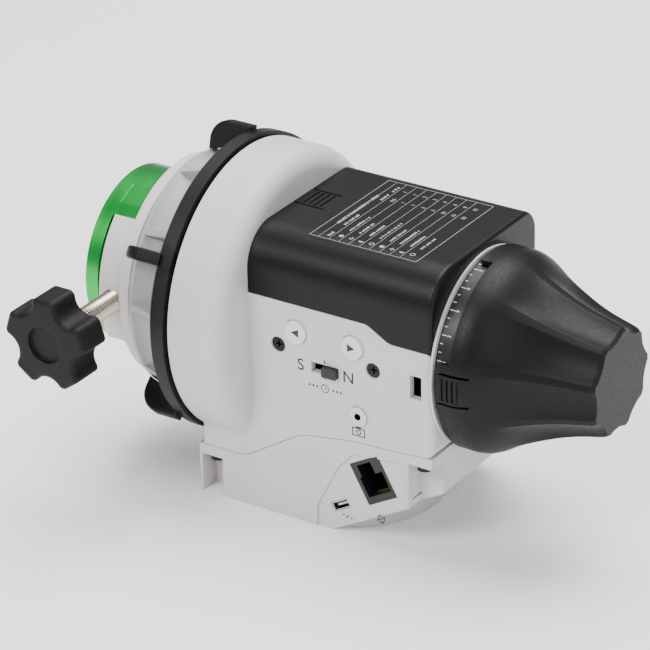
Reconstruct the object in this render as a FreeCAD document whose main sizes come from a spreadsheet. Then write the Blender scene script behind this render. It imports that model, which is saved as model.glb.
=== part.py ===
"""Motor-driven star tracker head with a polar scope, as a parametric document.

Frame: origin at the mouth of the tripod thread, on the underside of the base; +Z up;
the polar (right ascension) axis runs along X, with the camera socket towards -X and
the polar scope's eyepiece towards +X; the control panel faces -Y.
"""
import FreeCAD, Part
import math
import os
import re

import Sketcher
from FreeCAD import Matrix, Placement, Rotation, Vector

# Driving dimensions in millimetres. "x" stations are measured along the polar axis
# from the drum's front face; "z" levels are measured from the polar axis.
SIZES = {
    # frame
    "axis_height": 67,
    "tripod_station": 41,
    # housing shells
    "drum_radius": 51.5,
    "drum_length": 20,
    "drum_round": 7,
    "box_front": 32.5,
    "box_back": 35.5,
    "box_rear": 92,
    "box_corner": 2.5,
    "shell_wall": 2.6,
    "seam_gap": 0.2,
    "skirt_level": 48.2,
    "crest_level": 33.5,
    "mid_seam_level": 30.4,
    "rear_seam_level": 28.6,
    "skirt_length": 17,
    "crest_station": 40,
    "mid_seam_station": 60,
    "seam_round": 12,
    "base_overhang": 2.2,
    "slope_station": 52.2,
    "rear_foot_level": 45,
    "pad_radius": 32,
    # battery cover and bay
    "cover_start": 20.3,
    "cover_top": 37,
    "cover_wall": 2,
    "cover_edge_level": 15,
    "cover_rear_level": 10,
    "cover_step_start": 67,
    "cover_step_end": 75.5,
    "cover_step_round": 6,
    "front_shoulder": 14,
    "back_shoulder": 9,
    "cover_end_round": 1.5,
    "cover_clearance": 0.3,
    "tub_wall": 1.8,
    "tub_top": 24,
    "bay_floor": 17.5,
    "floor_wall": 1.6,
    "cell_radius": 7.25,
    "cell_length": 50.5,
    "cell_pitch": 14.7,
    "cell_start": 31,
    "cell_level": 26,
    "latch_width": 12,
    "latch_length": 12,
    "latch_slot": 0.8,
    # shaft and bearings
    "shaft_radius": 15,
    "shaft_mid_radius": 12,
    "shaft_rear_radius": 10,
    "shaft_bore": 12.5,
    "scope_bore": 8.3,
    "shaft_flange_radius": 24,
    "shaft_flange_thickness": 3,
    "front_bearing_radius": 21,
    "front_bearing_width": 7,
    "front_bearing_start": 1,
    "rear_bearing_radius": 16,
    "rear_bearing_width": 7,
    "rear_bearing_start": 84.5,
    "rear_seat_wall": 1.4,
    "fit_clearance": 0.03,
    "turn_clearance": 0.4,
    # worm drive
    "wheel_start": 9.5,
    "wheel_width": 6,
    "wheel_teeth": 144,
    "wheel_pitch_radius": 42.4,
    "wheel_hub_radius": 22,
    "worm_pitch_radius": 5.9,
    "worm_turns": 10,
    "thread_addendum": 0.5,
    "thread_dedendum": 0.75,
    "worm_shaft_radius": 2.5,
    "worm_bearing_radius": 4,
    "worm_bearing_width": 2.5,
    "worm_bearing_offset": 12,
    "gear_module": 0.45,
    "gear_teeth": 40,
    "pinion_teeth": 20,
    "gear_width": 4,
    "gear_station": 19.5,
    "motor_radius": 6.8,
    "motor_length": 27,
    "motor_rise_angle": 20,
    "bracket_half": 4.9,
    # camera socket, adapter and lock
    "socket_front": 28.5,
    "socket_back": 24.5,
    "socket_radius": 39.8,
    "boss_front": 39,
    "boss_outer_radius": 37.5,
    "boss_softening": 1.2,
    "boss_inner_radius": 24.8,
    "boss_start_angle": 134,
    "boss_sweep": 72,
    "adapter_front": 48.6,
    "adapter_back": 28.7,
    "adapter_radius": 31.4,
    "adapter_rim": 5.2,
    "notch_margin_angle": 2.5,
    "notch_radius": 24.2,
    "window_depth": 5,
    "window_length": 9,
    "window_width": 12.5,
    "window_pitch": 40,
    "window_first_angle": 114,
    "stud_radius": 4.76,
    "stud_reach": 9,
    "stud_shank_radius": 4.1,
    "pad_thickness": 0.8,
    "lock_station": 33,
    "lock_screw_radius": 4,
    "lock_tip_reach": 27.3,
    "knob_back": 64,
    "knob_front": 76,
    "knob_radius": 17.2,
    "knob_valley": 12.4,
    "knob_lobe_half": 5,
    "knob_corner": 2.2,
    "knob_rim": 1.6,
    # clutch
    "hub_front": 22.5,
    "hub_front_radius": 42.4,
    "hub_back_radius": 47.2,
    "hub_ribs": 10,
    "hub_first_rib": 104,
    "hub_rib_width": 2.6,
    "hub_pocket_station": 14.8,
    "hub_pocket_centre": 50.3,
    "hub_pocket_radius": 9.5,
    "ring_front": 7,
    "ring_back": 1.1,
    "ring_inner": 43.6,
    "ring_outer": 52.8,
    "fin_radius": 54.5,
    "fin_front": 21.9,
    "fin_corner": 8,
    "fin_softening": 1.1,
    "fin_thickness": 4.4,
    "fin_count": 5,
    "fin_first_angle": 78.5,
    # polar scope end
    "boss_ring_radius": 34.3,
    "boss_ring_thickness": 0.9,
    "time_circle_radius": 32.9,
    "time_circle_start": 93.1,
    "time_circle_web": 94.4,
    "time_circle_end": 101,
    "date_ring_radius": 27,
    "eyepiece_radius": 10,
    "eyepiece_end": 116,
    "focus_ring_radius": 13.5,
    # cap
    "cap_start": 94.8,
    "cap_radius": 35,
    "cap_end": 144.3,
    "cap_flutes": 9,
    "cap_first_ridge": 85,
    "cap_wall": 1.7,
    # controls
    "button_radius": 4.2,
    "button_left": 39.1,
    "button_right": 61.3,
    "button_level": 4.9,
    "button_stand": 0.9,
    "slot_start": 44.9,
    "slot_end": 55.7,
    "slot_level": 6.45,
    "slot_height": 3.7,
    "slider_length": 5.4,
    "snap_station": 63.3,
    "snap_level": 20.2,
    "snap_radius": 3.5,
    "snap_bore": 1.25,
    "window_slot_start": 83.5,
    "window_slot_length": 4.4,
    "window_slot_height": 8.5,
    "port_angle": 29,
    "guider_station": 68.3,
    "guider_level": 43.6,
    "guider_width": 12.8,
    "guider_height": 15.6,
    "guider_depth": 13,
    "usb_station": 55.2,
    "usb_level": 56.75,
    "usb_width": 7.4,
    "usb_height": 3.3,
    "facet_depth": 0.7,
    "dial_station": 58,
    "dial_level": 6,
    "dial_radius": 13,
    "dial_height": 6,
    # fasteners
    "screw_radius": 1.25,
    "screw_head_radius": 2.65,
    "screw_head_height": 2.2,
    "face_screw_left": 31.8,
    "face_screw_right": 69.2,
    "face_screw_level": 1.6,
    "face_sink": 2.9,
    "pocket_width": 8.3,
    "pocket_depth": 7.5,
    "pocket_lip": 4.2,
    "post_radius": 3.2,
    "tripod_boss_height": 14.5,
    # tripod thread
    "tripod_thread_radius": 3.97,
    "tripod_thread_length": 12,
    "insert_radius": 8,
}

doc = FreeCAD.newDocument("star_tracker")
sheet = doc.addObject("Spreadsheet::Sheet", "dimensions")
for row, (alias, value) in enumerate(SIZES.items(), start=1):
    sheet.set("A%d" % row, alias)
    sheet.set("B%d" % row, str(value))
    sheet.setAlias("B%d" % row, alias)
workings = doc.addObject("Spreadsheet::Sheet", "workings")
doc.recompute()

FINISHED = {}


def bound(text):
    """Return an expression in which every size is read from the spreadsheet."""
    return re.sub(r"[a-z]\w*", lambda m: "dimensions." + m[0] if m[0] in SIZES else m[0], text)


def number(text):
    """Value of a formula of sizes, worked out in a spare cell of its own sheet."""
    workings.set("A1", "=" + bound(str(text)))
    workings.recompute()
    return float(workings.get("A1"))


def bind(item, **formulas):
    """Bind properties to formulas; a double underscore stands for a dot."""
    for name, text in formulas.items():
        item.setExpression(name.replace("__", "."), bound(text))
    return item


def place(item, at, turn=None):
    """Give an object its place, at = (station, y, level), measured from the polar axis."""
    item.Placement = Placement(Vector(0, 0, 0), turn or Rotation())
    bind(item, Placement__Base__x="(%s) - tripod_station" % at[0], Placement__Base__y=at[1],
         Placement__Base__z="axis_height + (%s)" % at[2])
    return item


ALONG = {
    "X": Rotation(Vector(0, 1, 0), 90),
    "Y": Rotation(Vector(1, 0, 0), -90),
    "-Y": Rotation(Vector(1, 0, 0), 90),
    "Z": Rotation(),
}


def cylinder(name, radius, length, at, along="X"):
    item = doc.addObject("Part::Cylinder", name)
    bind(item, Radius=radius, Height=length)
    return place(item, at, ALONG[along])


def block(name, size, at, turn=None):
    item = doc.addObject("Part::Box", name)
    bind(item, Length=size[0], Width=size[1], Height=size[2])
    return place(item, at, turn)


def span(name, stations, ys, levels):
    """Box given by its limits on each axis."""
    size = ["(%s) - (%s)" % (high, low) for low, high in (stations, ys, levels)]
    return block(name, size, (stations[0], ys[0], levels[0]))


def fuse(name, *items):
    item = doc.addObject("Part::MultiFuse", name)
    item.Shapes = list(items)
    return item


def cut(name, base, *tools):
    item = doc.addObject("Part::Cut", name)
    item.Base = base
    item.Tool = tools[0] if len(tools) == 1 else fuse(name + "_tools", *tools)
    return item


def group(name, *items):
    item = doc.addObject("Part::Compound", name)
    item.Links = list(items)
    return item


def finish(label, item):
    """Register a finished sub-part under the name of its node."""
    item.Label = label
    FINISHED[label] = item
    return item


def sketch_on(body, plane, points):
    """Closed polygon whose every corner is bound to a pair of formulas."""
    origin = [f for f in body.Origin.OriginFeatures if f.Role == plane][0]
    sketch = body.newObject("Sketcher::SketchObject", body.Name + "_sketch")
    sketch.AttachmentSupport = [(origin, "")]
    sketch.MapMode = "FlatFace"
    corners = [Vector(number(u), number(v), 0) for u, v in points]
    count = len(corners)
    for i in range(count):
        sketch.addGeometry(Part.LineSegment(corners[i], corners[(i + 1) % count]))
    for i in range(count):
        sketch.addConstraint(Sketcher.Constraint("Coincident", i, 2, (i + 1) % count, 1))
    for i, corner in enumerate(points):
        for kind, text, value in zip(("DistanceX", "DistanceY"), corner, corners[i]):
            index = sketch.addConstraint(Sketcher.Constraint(kind, -1, 1, i, 1, value))
            sketch.setExpression("Constraints[%d]" % index, bound(text))
    return sketch


def new_body(name, at):
    return place(doc.addObject("PartDesign::Body", name), at)


def turned(name, start, points):
    """Body turned about the polar axis; points are (station from start, radius)."""
    body = new_body(name, (start, "0", "0"))
    sketch = sketch_on(body, "XZ_Plane", points)
    turn = body.newObject("PartDesign::Revolution", name + "_turn")
    turn.Profile = sketch
    turn.ReferenceAxis = (sketch, ["H_Axis"])
    turn.Angle = 360
    doc.recompute()
    return body


def ring(name, start, length, outer, inner):
    """Plain ring about the polar axis."""
    return turned(name, start, [("0", inner), (length, inner), (length, outer), ("0", outer)])


def edges_where(shape, test):
    """Names of the edges whose every vertex passes the test."""
    return ["Edge%d" % (i + 1) for i, edge in enumerate(shape.Edges)
            if all(test(v.Point) for v in edge.Vertexes)]


def round_off(body, name, radius, test):
    base = body.Tip
    found = edges_where(base.Shape, test)
    if not found:
        raise ValueError("no edge to round for " + name)
    item = body.newObject("PartDesign::Fillet", name)
    item.Base = (base, found)
    bind(item, Radius=radius)
    doc.recompute()
    body.Tip = item
    return item


def side_body(name, points, front="box_front", back="box_back", rounds=()):
    """Body extruded across Y from a side outline of (station, level) corners."""
    body = new_body(name, ("0", "((%s) - (%s)) / 2" % (back, front), "0"))
    sketch = sketch_on(body, "XZ_Plane", points)
    pad = body.newObject("PartDesign::Pad", name + "_pad")
    pad.Profile = sketch
    pad.Midplane = True
    bind(pad, Length="(%s) + (%s)" % (front, back))
    doc.recompute()
    for i, (corner, radius) in enumerate(rounds):
        u, v = number(corner[0]), number(corner[1])
        round_off(body, "%s_round_%d" % (name, i), radius,
                  lambda p, u=u, v=v: math.hypot(p.x - u, p.z - v) < 0.01)
    return body


def solid(name, shape):
    """Sub-part whose shape is worked out here from the sheet's sizes, in axis stations."""
    item = doc.addObject("Part::Feature", name)
    item.Shape = shape
    return place(item, ("0", "0", "0"))


def polar_point(station, radius, degrees):
    """Point about the polar axis; 0 degrees looks along +Y and 90 along +Z."""
    angle = math.radians(degrees)
    return Vector(station, radius * math.cos(angle), radius * math.sin(angle))


def sector(name, start, length, radius, first_angle, sweep):
    """Pie slice about the polar axis, from first_angle through sweep degrees."""
    item = doc.addObject("Part::Cylinder", name)
    bind(item, Radius=radius, Height=length, Angle=sweep)
    angle = math.radians(number(first_angle))
    c, s = math.cos(angle), math.sin(angle)
    turn = Rotation(Matrix(0, 0, 1, 0, c, -s, 0, 0, s, c, 0, 0, 0, 0, 0, 1))
    return place(item, (start, "0", "0"), turn)


def about_axis(name, size, station, radius, degrees):
    """Box centred across the radius that points at the given angle, standing on it."""
    item = doc.addObject("Part::Box", name)
    bind(item, Length=size[0], Width=size[1], Height=size[2])
    turn = Rotation(Vector(1, 0, 0), degrees - 90)
    c, s = math.cos(math.radians(degrees)), math.sin(math.radians(degrees))
    y = "(%s) * (%.6f) - (%s) / 2 * (%.6f)" % (radius, c, size[1], s)
    z = "(%s) * (%.6f) + (%s) / 2 * (%.6f)" % (radius, s, size[1], -c)
    return place(item, (station, y, z), turn)


# ---------------------------------------------------------------- housing shells
SEAM = [("skirt_length", "-skirt_level"), ("crest_station", "-crest_level"),
        ("mid_seam_station", "-mid_seam_level")]
LIP = [("cover_step_end", "cover_rear_level - seam_gap"),
       ("cover_step_start", "cover_edge_level - seam_gap")]


def inset(front, back, wall):
    return "-(%s - (%s))" % (front, wall), "%s - (%s)" % (back, wall)


def build_main_housing():
    outline = [("0", "-skirt_level")] + SEAM + [("box_rear", "-rear_seam_level"),
               ("box_rear", LIP[0][1])] + LIP + [("0", LIP[1][1])]
    rounds = [(SEAM[0], "seam_round"), (SEAM[1], "seam_round"), (LIP[0], "cover_step_round"),
              (LIP[1], "cover_step_round")]
    box = side_body("box_outer", outline, rounds=rounds)
    rear = number("box_rear")
    width = number("box_front + box_back") / 2
    round_off(box, "box_corner_round", "box_corner",
              lambda p: abs(p.x - rear) < 0.01 and abs(abs(p.y) - width) < 0.01)
    low, high = inset("box_front", "box_back", "shell_wall")
    hollow = span("box_hollow", ("shell_wall", "box_rear - shell_wall"), (low, high), ("-60", "7.2"))
    box_shell = cut("box_shell", box, hollow)
    drum = turned("drum_outer", "0", [("0", "0"), ("drum_length", "0"), ("drum_length", "drum_radius"),
                                      ("0", "drum_radius")])
    length, radius = number("drum_length"), number("drum_radius")
    round_off(drum, "drum_back_round", "drum_round",
              lambda p: abs(p.x - length) < 0.01 and abs(math.hypot(p.y, p.z) - radius) < 0.01)
    tub_low, tub_high = inset("box_front", "box_back", "cover_wall + cover_clearance")
    tub_start = "cover_start + cover_wall + cover_clearance"
    tub_end = "box_rear - cover_wall - cover_clearance"
    tub = span("tub_outer", (tub_start, tub_end), (tub_low, tub_high), ("7.2", "tub_top"))
    shell = fuse("housing_outer", box_shell, drum, tub)
    in_low, in_high = inset("box_front", "box_back", "cover_wall + cover_clearance + tub_wall")
    ends = (tub_start + " + tub_wall", tub_end + " - tub_wall")
    loft_space = span("loft_space", ends, (in_low, in_high), ("0", "bay_floor - floor_wall"))
    bay = span("battery_bay", ends, (in_low, in_high), ("bay_floor", "tub_top + 1"))
    drum_hollow = cylinder("drum_hollow", "drum_radius - shell_wall",
                           "drum_length - 2 * shell_wall", ("shell_wall", "0", "0"))
    worm_slot = span("worm_slot", ("shell_wall", "drum_length + 2"), ("-24", "30.5"),
                     ("-62", "-35"))
    hollowed = cut("housing_hollowed", shell, loft_space, bay, drum_hollow, worm_slot)
    front_seat = ring("front_bearing_seat", "shell_wall", "front_bearing_start + front_bearing_width"
                      " - shell_wall", "front_bearing_radius + 3", "front_bearing_radius")
    rear_seat = ring("rear_bearing_seat", "rear_bearing_start - shell_wall",
                     "rear_bearing_width + shell_wall", "rear_bearing_radius + rear_seat_wall",
                     "rear_bearing_radius")
    rear_boss = ring("rear_boss", "box_rear", "boss_ring_thickness", "boss_ring_radius", "18")
    posts = [cylinder("housing_post_%d" % i, "post_radius", height, (x, y, z), "Z")
             for i, (x, y, z, height) in enumerate(SCREW_POSTS)]
    posts += [cylinder("face_post_" + side, "post_radius", "7",
                       ("face_screw_" + side, "-box_front + shell_wall - 0.2", "-face_screw_level"), "Y")
              for side in ("left", "right")]
    bodied = fuse("housing_bodied", hollowed, front_seat, rear_seat, rear_boss, *posts)
    holes = [
        cylinder("front_lip_bore", "shaft_radius + turn_clearance", "shell_wall", ("-0.5", "0", "0")),
        cylinder("front_seat_bore", "front_bearing_radius", "front_bearing_width + 0.5",
                 ("front_bearing_start", "0", "0")),
        cylinder("back_wall_bore", "shaft_radius + turn_clearance", "shell_wall + 2",
                 ("drum_length - shell_wall - 1", "0", "0")),
        cylinder("rear_seat_bore", "rear_bearing_radius", "rear_bearing_width + 0.6",
                 ("rear_bearing_start", "0", "0")),
        cylinder("rear_lip_bore", "shaft_mid_radius + turn_clearance", "6",
                 ("rear_bearing_start - 5", "0", "0")),
        cylinder("bay_wall_bore", "shaft_mid_radius + turn_clearance", "5",
                 ("drum_length", "0", "0")),
    ]
    wall_y = "-box_front - 1"
    deep = "shell_wall + 2"
    for side in ("left", "right"):
        holes.append(cylinder("button_hole_" + side, "button_radius + 0.15", deep,
                              ("button_" + side, wall_y, "button_level"), "Y"))
        holes.append(cylinder("button_space_" + side, "button_radius + 1.3", "3",
                              ("button_" + side, "-box_front + shell_wall", "button_level"), "Y"))
        holes.append(cylinder("face_screw_hole_" + side, "screw_radius + 0.15", "12",
                              ("face_screw_" + side, wall_y, "-face_screw_level"), "Y"))
        holes.append(cylinder("face_screw_sink_" + side, "screw_head_radius + 0.15", "1 + face_sink",
                              ("face_screw_" + side, wall_y, "-face_screw_level"), "Y"))
    holes.append(block("switch_slot", ("slot_end - slot_start", deep, "slot_height"),
                       ("slot_start", wall_y, "-slot_level - slot_height / 2")))
    holes.append(cylinder("snap_hole", "snap_radius - 0.4", deep,
                          ("snap_station", wall_y, "-snap_level"), "Y"))
    holes.append(block("latch_window", ("window_slot_length", deep, "window_slot_height"),
                       ("window_slot_start", wall_y, "-7.8")))
    holes.append(cylinder("dial_hole", "4.3", deep,
                          ("dial_station", "box_back - shell_wall - 1", "-dial_level"), "Y"))
    for i, (x, y, z, height) in enumerate(SCREW_POSTS):
        holes.append(cylinder("post_hole_%d" % i, "screw_radius + 0.05", height, (x, y, z + " - 1"), "Z"))
    finish("main_housing", cut("main_housing", bodied, *holes))


def mirrored_y(y):
    """The same distance in from the back face as y is from the front face."""
    return "box_back - box_front - (%s)" % y


POCKET_Y = "-(box_front - pocket_depth / 2)"
LEFT_POST_X = "pocket_width / 2 - 1"
RIGHT_POST_X = "box_rear - pocket_width / 2 - 1"
SCREW_POSTS = [
    (LEFT_POST_X, POCKET_Y, "-skirt_level", "6"),
    (LEFT_POST_X, mirrored_y(POCKET_Y), "-skirt_level", "6"),
    (RIGHT_POST_X, POCKET_Y, "-rear_seam_level - 0.1", "12"),
    (RIGHT_POST_X, mirrored_y(POCKET_Y), "-rear_seam_level - 0.1", "12"),
]


def build_base_housing():
    level = "%s - seam_gap"
    outline = [("-base_overhang", level % "-skirt_level")]
    outline += [(x, level % z) for x, z in SEAM]
    outline += [("box_rear - seam_gap", level % "-rear_seam_level"),
                ("box_rear - seam_gap", "-rear_foot_level"), ("slope_station", "-axis_height"),
                ("-base_overhang", "-axis_height")]
    rounds = [((SEAM[0][0], level % SEAM[0][1]), "seam_round"),
              ((SEAM[1][0], level % SEAM[1][1]), "seam_round")]
    outer = side_body("base_outer", outline, rounds=rounds)
    foot = cylinder("foot_pad", "pad_radius", "16", ("tripod_station", "0", "-axis_height"), "Z")
    slope = side_body("base_inner", [
        ("shell_wall - 2", "-20"), ("shell_wall - 2", "-axis_height + shell_wall"),
        ("slope_station - 0.7", "-axis_height + shell_wall"),
        ("box_rear - shell_wall", "-rear_foot_level + 1.2"), ("box_rear - shell_wall", "-20")],
        front="box_front - shell_wall", back="box_back - shell_wall")
    foot_hollow = cylinder("foot_hollow", "pad_radius - shell_wall", "20",
                           ("tripod_station", "0", "-axis_height + shell_wall"), "Z")
    shell = cut("base_shell", fuse("base_solid", outer, foot), slope, foot_hollow)
    extras = [cylinder("tripod_boss", "insert_radius + 4", "tripod_boss_height",
                       ("tripod_station", "0", "-axis_height"), "Z")]
    pockets = []
    for side, (x0, x1, top) in enumerate((("-base_overhang + 1.2", "pocket_width - 1", "-skirt_level"),
                                          ("box_rear - pocket_width - 1", "box_rear + 1",
                                           "-rear_seam_level"))):
        lip = "%s - seam_gap - 0.7" % top
        roof = "%s - pocket_lip" % top
        for end, (y0, y1) in enumerate((("-box_front - 1", "-box_front + pocket_depth"),
                                        ("box_back - pocket_depth", "box_back + 1"))):
            name = "%d_%d" % (side, end)
            block_x = ("-base_overhang + 1", "pocket_width + 0.5") if side == 0 else (
                "box_rear - pocket_width - 2.6", "box_rear - 1.2")
            block_y = ("-box_front + 1", "-box_front + pocket_depth + 1.6") if end == 0 else (
                "box_back - pocket_depth - 1.6", "box_back - 1")
            foot_level = "-axis_height + 1" if side == 0 else "-rear_foot_level - 2"
            extras.append(span("pocket_block_" + name, block_x, block_y, (foot_level, lip)))
            pockets.append(span("pocket_" + name, (x0, x1), (y0, y1), ("-axis_height - 1", roof)))
    solid_base = fuse("base_with_blocks", shell, *extras)
    below = side_body("below_slope", [
        ("slope_station", "-axis_height - 0.01"), ("box_rear + 1", "-rear_foot_level + 0.54"),
        ("box_rear + 1", "-axis_height - 0.01")], front="box_front + 1", back="box_back + 1")
    keep_pad = cylinder("keep_pad", "pad_radius", "30",
                        ("tripod_station", "0", "-axis_height - 5"), "Z")
    trimmed = cut("base_trimmed", solid_base, cut("under_slope", below, keep_pad))
    turn = Rotation(Vector(0, 1, 0), -number("port_angle"))
    cuts = pockets + [
        cylinder("ring_clearance", "fin_radius + 1.1", "base_overhang + 2.8",
                 ("-base_overhang - 2", "0", "0")),
        cylinder("drum_clearance", "drum_radius + seam_gap", "drum_length + seam_gap",
                 ("0", "0", "0")),
        cylinder("insert_hole", "insert_radius", "20", ("tripod_station", "0", "-axis_height - 1"), "Z"),
        centred_block("guider_hole", ("guider_width + 0.2", "8", "guider_height + 0.2"),
                      ("guider_station", "-box_front", "-guider_level"), turn),
        centred_block("usb_hole", ("usb_width + 0.2", "8", "usb_height + 0.2"),
                      ("usb_station", "-box_front", "-usb_level"), turn),
        facet_tool(),
    ]
    for i, (x, y, z, _) in enumerate(SCREW_POSTS):
        cuts.append(cylinder("base_screw_hole_%d" % i, "screw_radius + 0.15", "8",
                             (x, y, z + " - 7"), "Z"))
    finish("base_housing", cut("base_housing", trimmed, *cuts))


def centred_block(name, size, centre, turn):
    """Box centred on a point of the front panel and turned in the panel's plane."""
    item = doc.addObject("Part::Box", name)
    bind(item, Length=size[0], Width=size[1], Height=size[2])
    angle = math.radians(number("port_angle"))
    c, s = math.cos(angle), math.sin(angle)
    x = "(%s) - (%s) / 2 * %.6f + (%s) / 2 * %.6f" % (centre[0], size[0], c, size[2], s)
    z = "(%s) - (%s) / 2 * %.6f - (%s) / 2 * %.6f" % (centre[2], size[0], s, size[2], c)
    y = "(%s) - (%s) / 2" % (centre[1], size[1])
    return place(item, (x, y, z), turn)


def port_point(port, right, up):
    """Point (x, level) offset from a port's centre, in the port's own turned directions."""
    angle = math.radians(number("port_angle"))
    c, s = math.cos(angle), math.sin(angle)
    return ("%s_station + (%.4f)" % (port, right * c - up * s),
            "-%s_level + (%.4f)" % (port, right * s + up * c))


def facet_tool():
    """Shallow slanted panel around the ports."""
    points = [("46", "-axis_height - 1"), ("46", "-59.3"), ("54.7", "-42"), ("61", "-35.2"),
              ("82", "-33.4"), ("82", "-axis_height - 1")]
    body = new_body("port_facet", ("0", "-box_front + facet_depth / 2", "0"))
    sketch = sketch_on(body, "XZ_Plane", points)
    pad = body.newObject("PartDesign::Pad", "port_facet_pad")
    pad.Profile = sketch
    pad.Midplane = True
    bind(pad, Length="facet_depth")
    doc.recompute()
    return body


# ---------------------------------------------------------------- battery bay
def build_battery_cover():
    def arch(name, margin, start, end):
        """Arched bar that the cover is the skin of."""
        body = new_body(name, (start, "0", "0"))
        low, high = "-(box_front - (%s))" % margin, "box_back - (%s)" % margin
        top = "cover_top - (%s)" % margin
        sketch = sketch_on(body, "YZ_Plane", [(low, "5"), (high, "5"), (high, top), (low, top)])
        pad = body.newObject("PartDesign::Pad", name + "_pad")
        pad.Profile = sketch
        bind(pad, Length="(%s) - (%s)" % (end, start))
        doc.recompute()
        for side, y, radius in (("front", low, "front_shoulder - (%s)" % margin),
                                ("back", high, "back_shoulder - (%s)" % margin)):
            u, v = number(y), number(top)
            round_off(body, "%s_%s_shoulder" % (name, side), radius,
                      lambda p, u=u, v=v: math.hypot(p.y - u, p.z - v) < 0.01)
        return body

    end = "box_rear - 0.15"
    outer = arch("cover_outer", "0", "cover_start", end)
    length = number(end + " - cover_start")
    round_off(outer, "cover_end_edge", "cover_end_round",
              lambda p: abs(p.x - length) < 0.01 and p.z > 5.01)
    inner = arch("cover_inner", "cover_wall", "cover_start + cover_wall", end + " - cover_wall")
    below = side_body("cover_below", [
        ("0", "0"), ("100", "0"), ("100", "cover_rear_level"), ("cover_step_end", "cover_rear_level"),
        ("cover_step_start", "cover_edge_level"), ("0", "cover_edge_level")],
        front="box_front + 1", back="box_back + 1",
        rounds=[(("cover_step_end", "cover_rear_level"), "cover_step_round"),
                (("cover_step_start", "cover_edge_level"), "cover_step_round")])
    centre = "(box_back - box_front) / 2"
    slots = [span("latch_slot_%d" % i, ("cover_start - 1", "cover_start + latch_length"),
                  ("%s %s latch_width / 2 - latch_slot / 2" % (centre, sign),
                   "%s %s latch_width / 2 + latch_slot / 2" % (centre, sign)),
                  ("cover_top - cover_wall - 0.5", "cover_top + 1"))
             for i, sign in enumerate("-+")]
    grooves = [span("latch_groove_%d" % i, ("cover_start + %.1f" % (3 + 2.2 * i),
                                            "cover_start + %.1f" % (3.9 + 2.2 * i)),
                    (centre + " - latch_width / 2 + 1", centre + " + latch_width / 2 - 1"),
                    ("cover_top - 0.5", "cover_top + 1")) for i in range(4)]
    seat = cylinder("cover_seat_notch", "rear_bearing_radius + rear_seat_wall + cover_clearance", "4",
                    ("box_rear - 3", "0", "0"))
    finish("battery_cover", cut("battery_cover", outer, inner, below, seat, *slots, *grooves))


def cell_centres():
    return ["(box_back - box_front) / 2 + (%.1f) * cell_pitch" % (i - 1.5) for i in range(4)]


def build_battery_bay():
    low, high = inset("box_front", "box_back", "cover_wall + cover_clearance + tub_wall + 0.2")
    start = "cover_start + cover_wall + cover_clearance + tub_wall + 0.2"
    end = "box_rear - cover_wall - cover_clearance - tub_wall - 0.2"
    tray = span("tray_block", (start, end), (low, high), ("bay_floor", "cell_level"))
    beds = [cylinder("cell_bed_%d" % i, "cell_radius + 0.15", "cell_length + 0.4",
                     ("cell_start - 0.2", y, "cell_level")) for i, y in enumerate(cell_centres())]
    for i, y in enumerate(cell_centres()):
        for j, (x0, x1) in enumerate(((start + " + 1", "cell_start"),
                                      ("cell_start + cell_length", end + " - 1"))):
            beds.append(span("contact_bed_%d_%d" % (i, j), (x0, x1), (y + " - 5", y + " + 5"),
                             ("bay_floor + 1.2", "cell_level + 1")))
    finish("battery_tray", cut("battery_tray", tray, *beds))
    cells, contacts = [], []
    for i, y in enumerate(cell_centres()):
        can = cylinder("cell_can_%d" % i, "cell_radius", "cell_length - 1.3",
                       ("cell_start + 0.05" if i % 2 == 0 else "cell_start + 1.25", y, "cell_level"))
        tip_x = "cell_start + cell_length - 1.35" if i % 2 == 0 else "cell_start + 0.05"
        tip = cylinder("cell_tip_%d" % i, "2.7", "1.3", (tip_x, y, "cell_level"))
        cells.append(fuse("cell_%d" % i, can, tip))
        for j, (x, spring_x) in enumerate(((start + " + 1.2", start + " + 1.7"),
                                           (end + " - 1.7", "cell_start + cell_length + 0.1"))):
            plate = block("contact_plate_%d_%d" % (i, j), ("0.5", "9", "8"),
                          (x, y + " - 4.5", "cell_level - 6"))
            reach = "cell_start - 0.1 - (%s)" % spring_x if j == 0 else "%s - (%s)" % (x, spring_x)
            coil = ring_at("contact_spring_%d_%d" % (i, j), spring_x, reach, "2.6", "1.8", y)
            contacts.append(fuse("contact_%d_%d" % (i, j), plate, coil))
    finish("battery_cells", group("battery_cells", *cells))
    finish("battery_contacts", group("battery_contacts", *contacts))


def ring_at(name, start, length, outer, inner, y, level="cell_level"):
    """Plain sleeve lying along X, away from the polar axis."""
    return cut(name, cylinder(name + "_out", outer, length, (start, y, level)),
               cylinder(name + "_in", inner, "(%s) + 2" % length, ("(%s) - 1" % start, y, level)))


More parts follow.
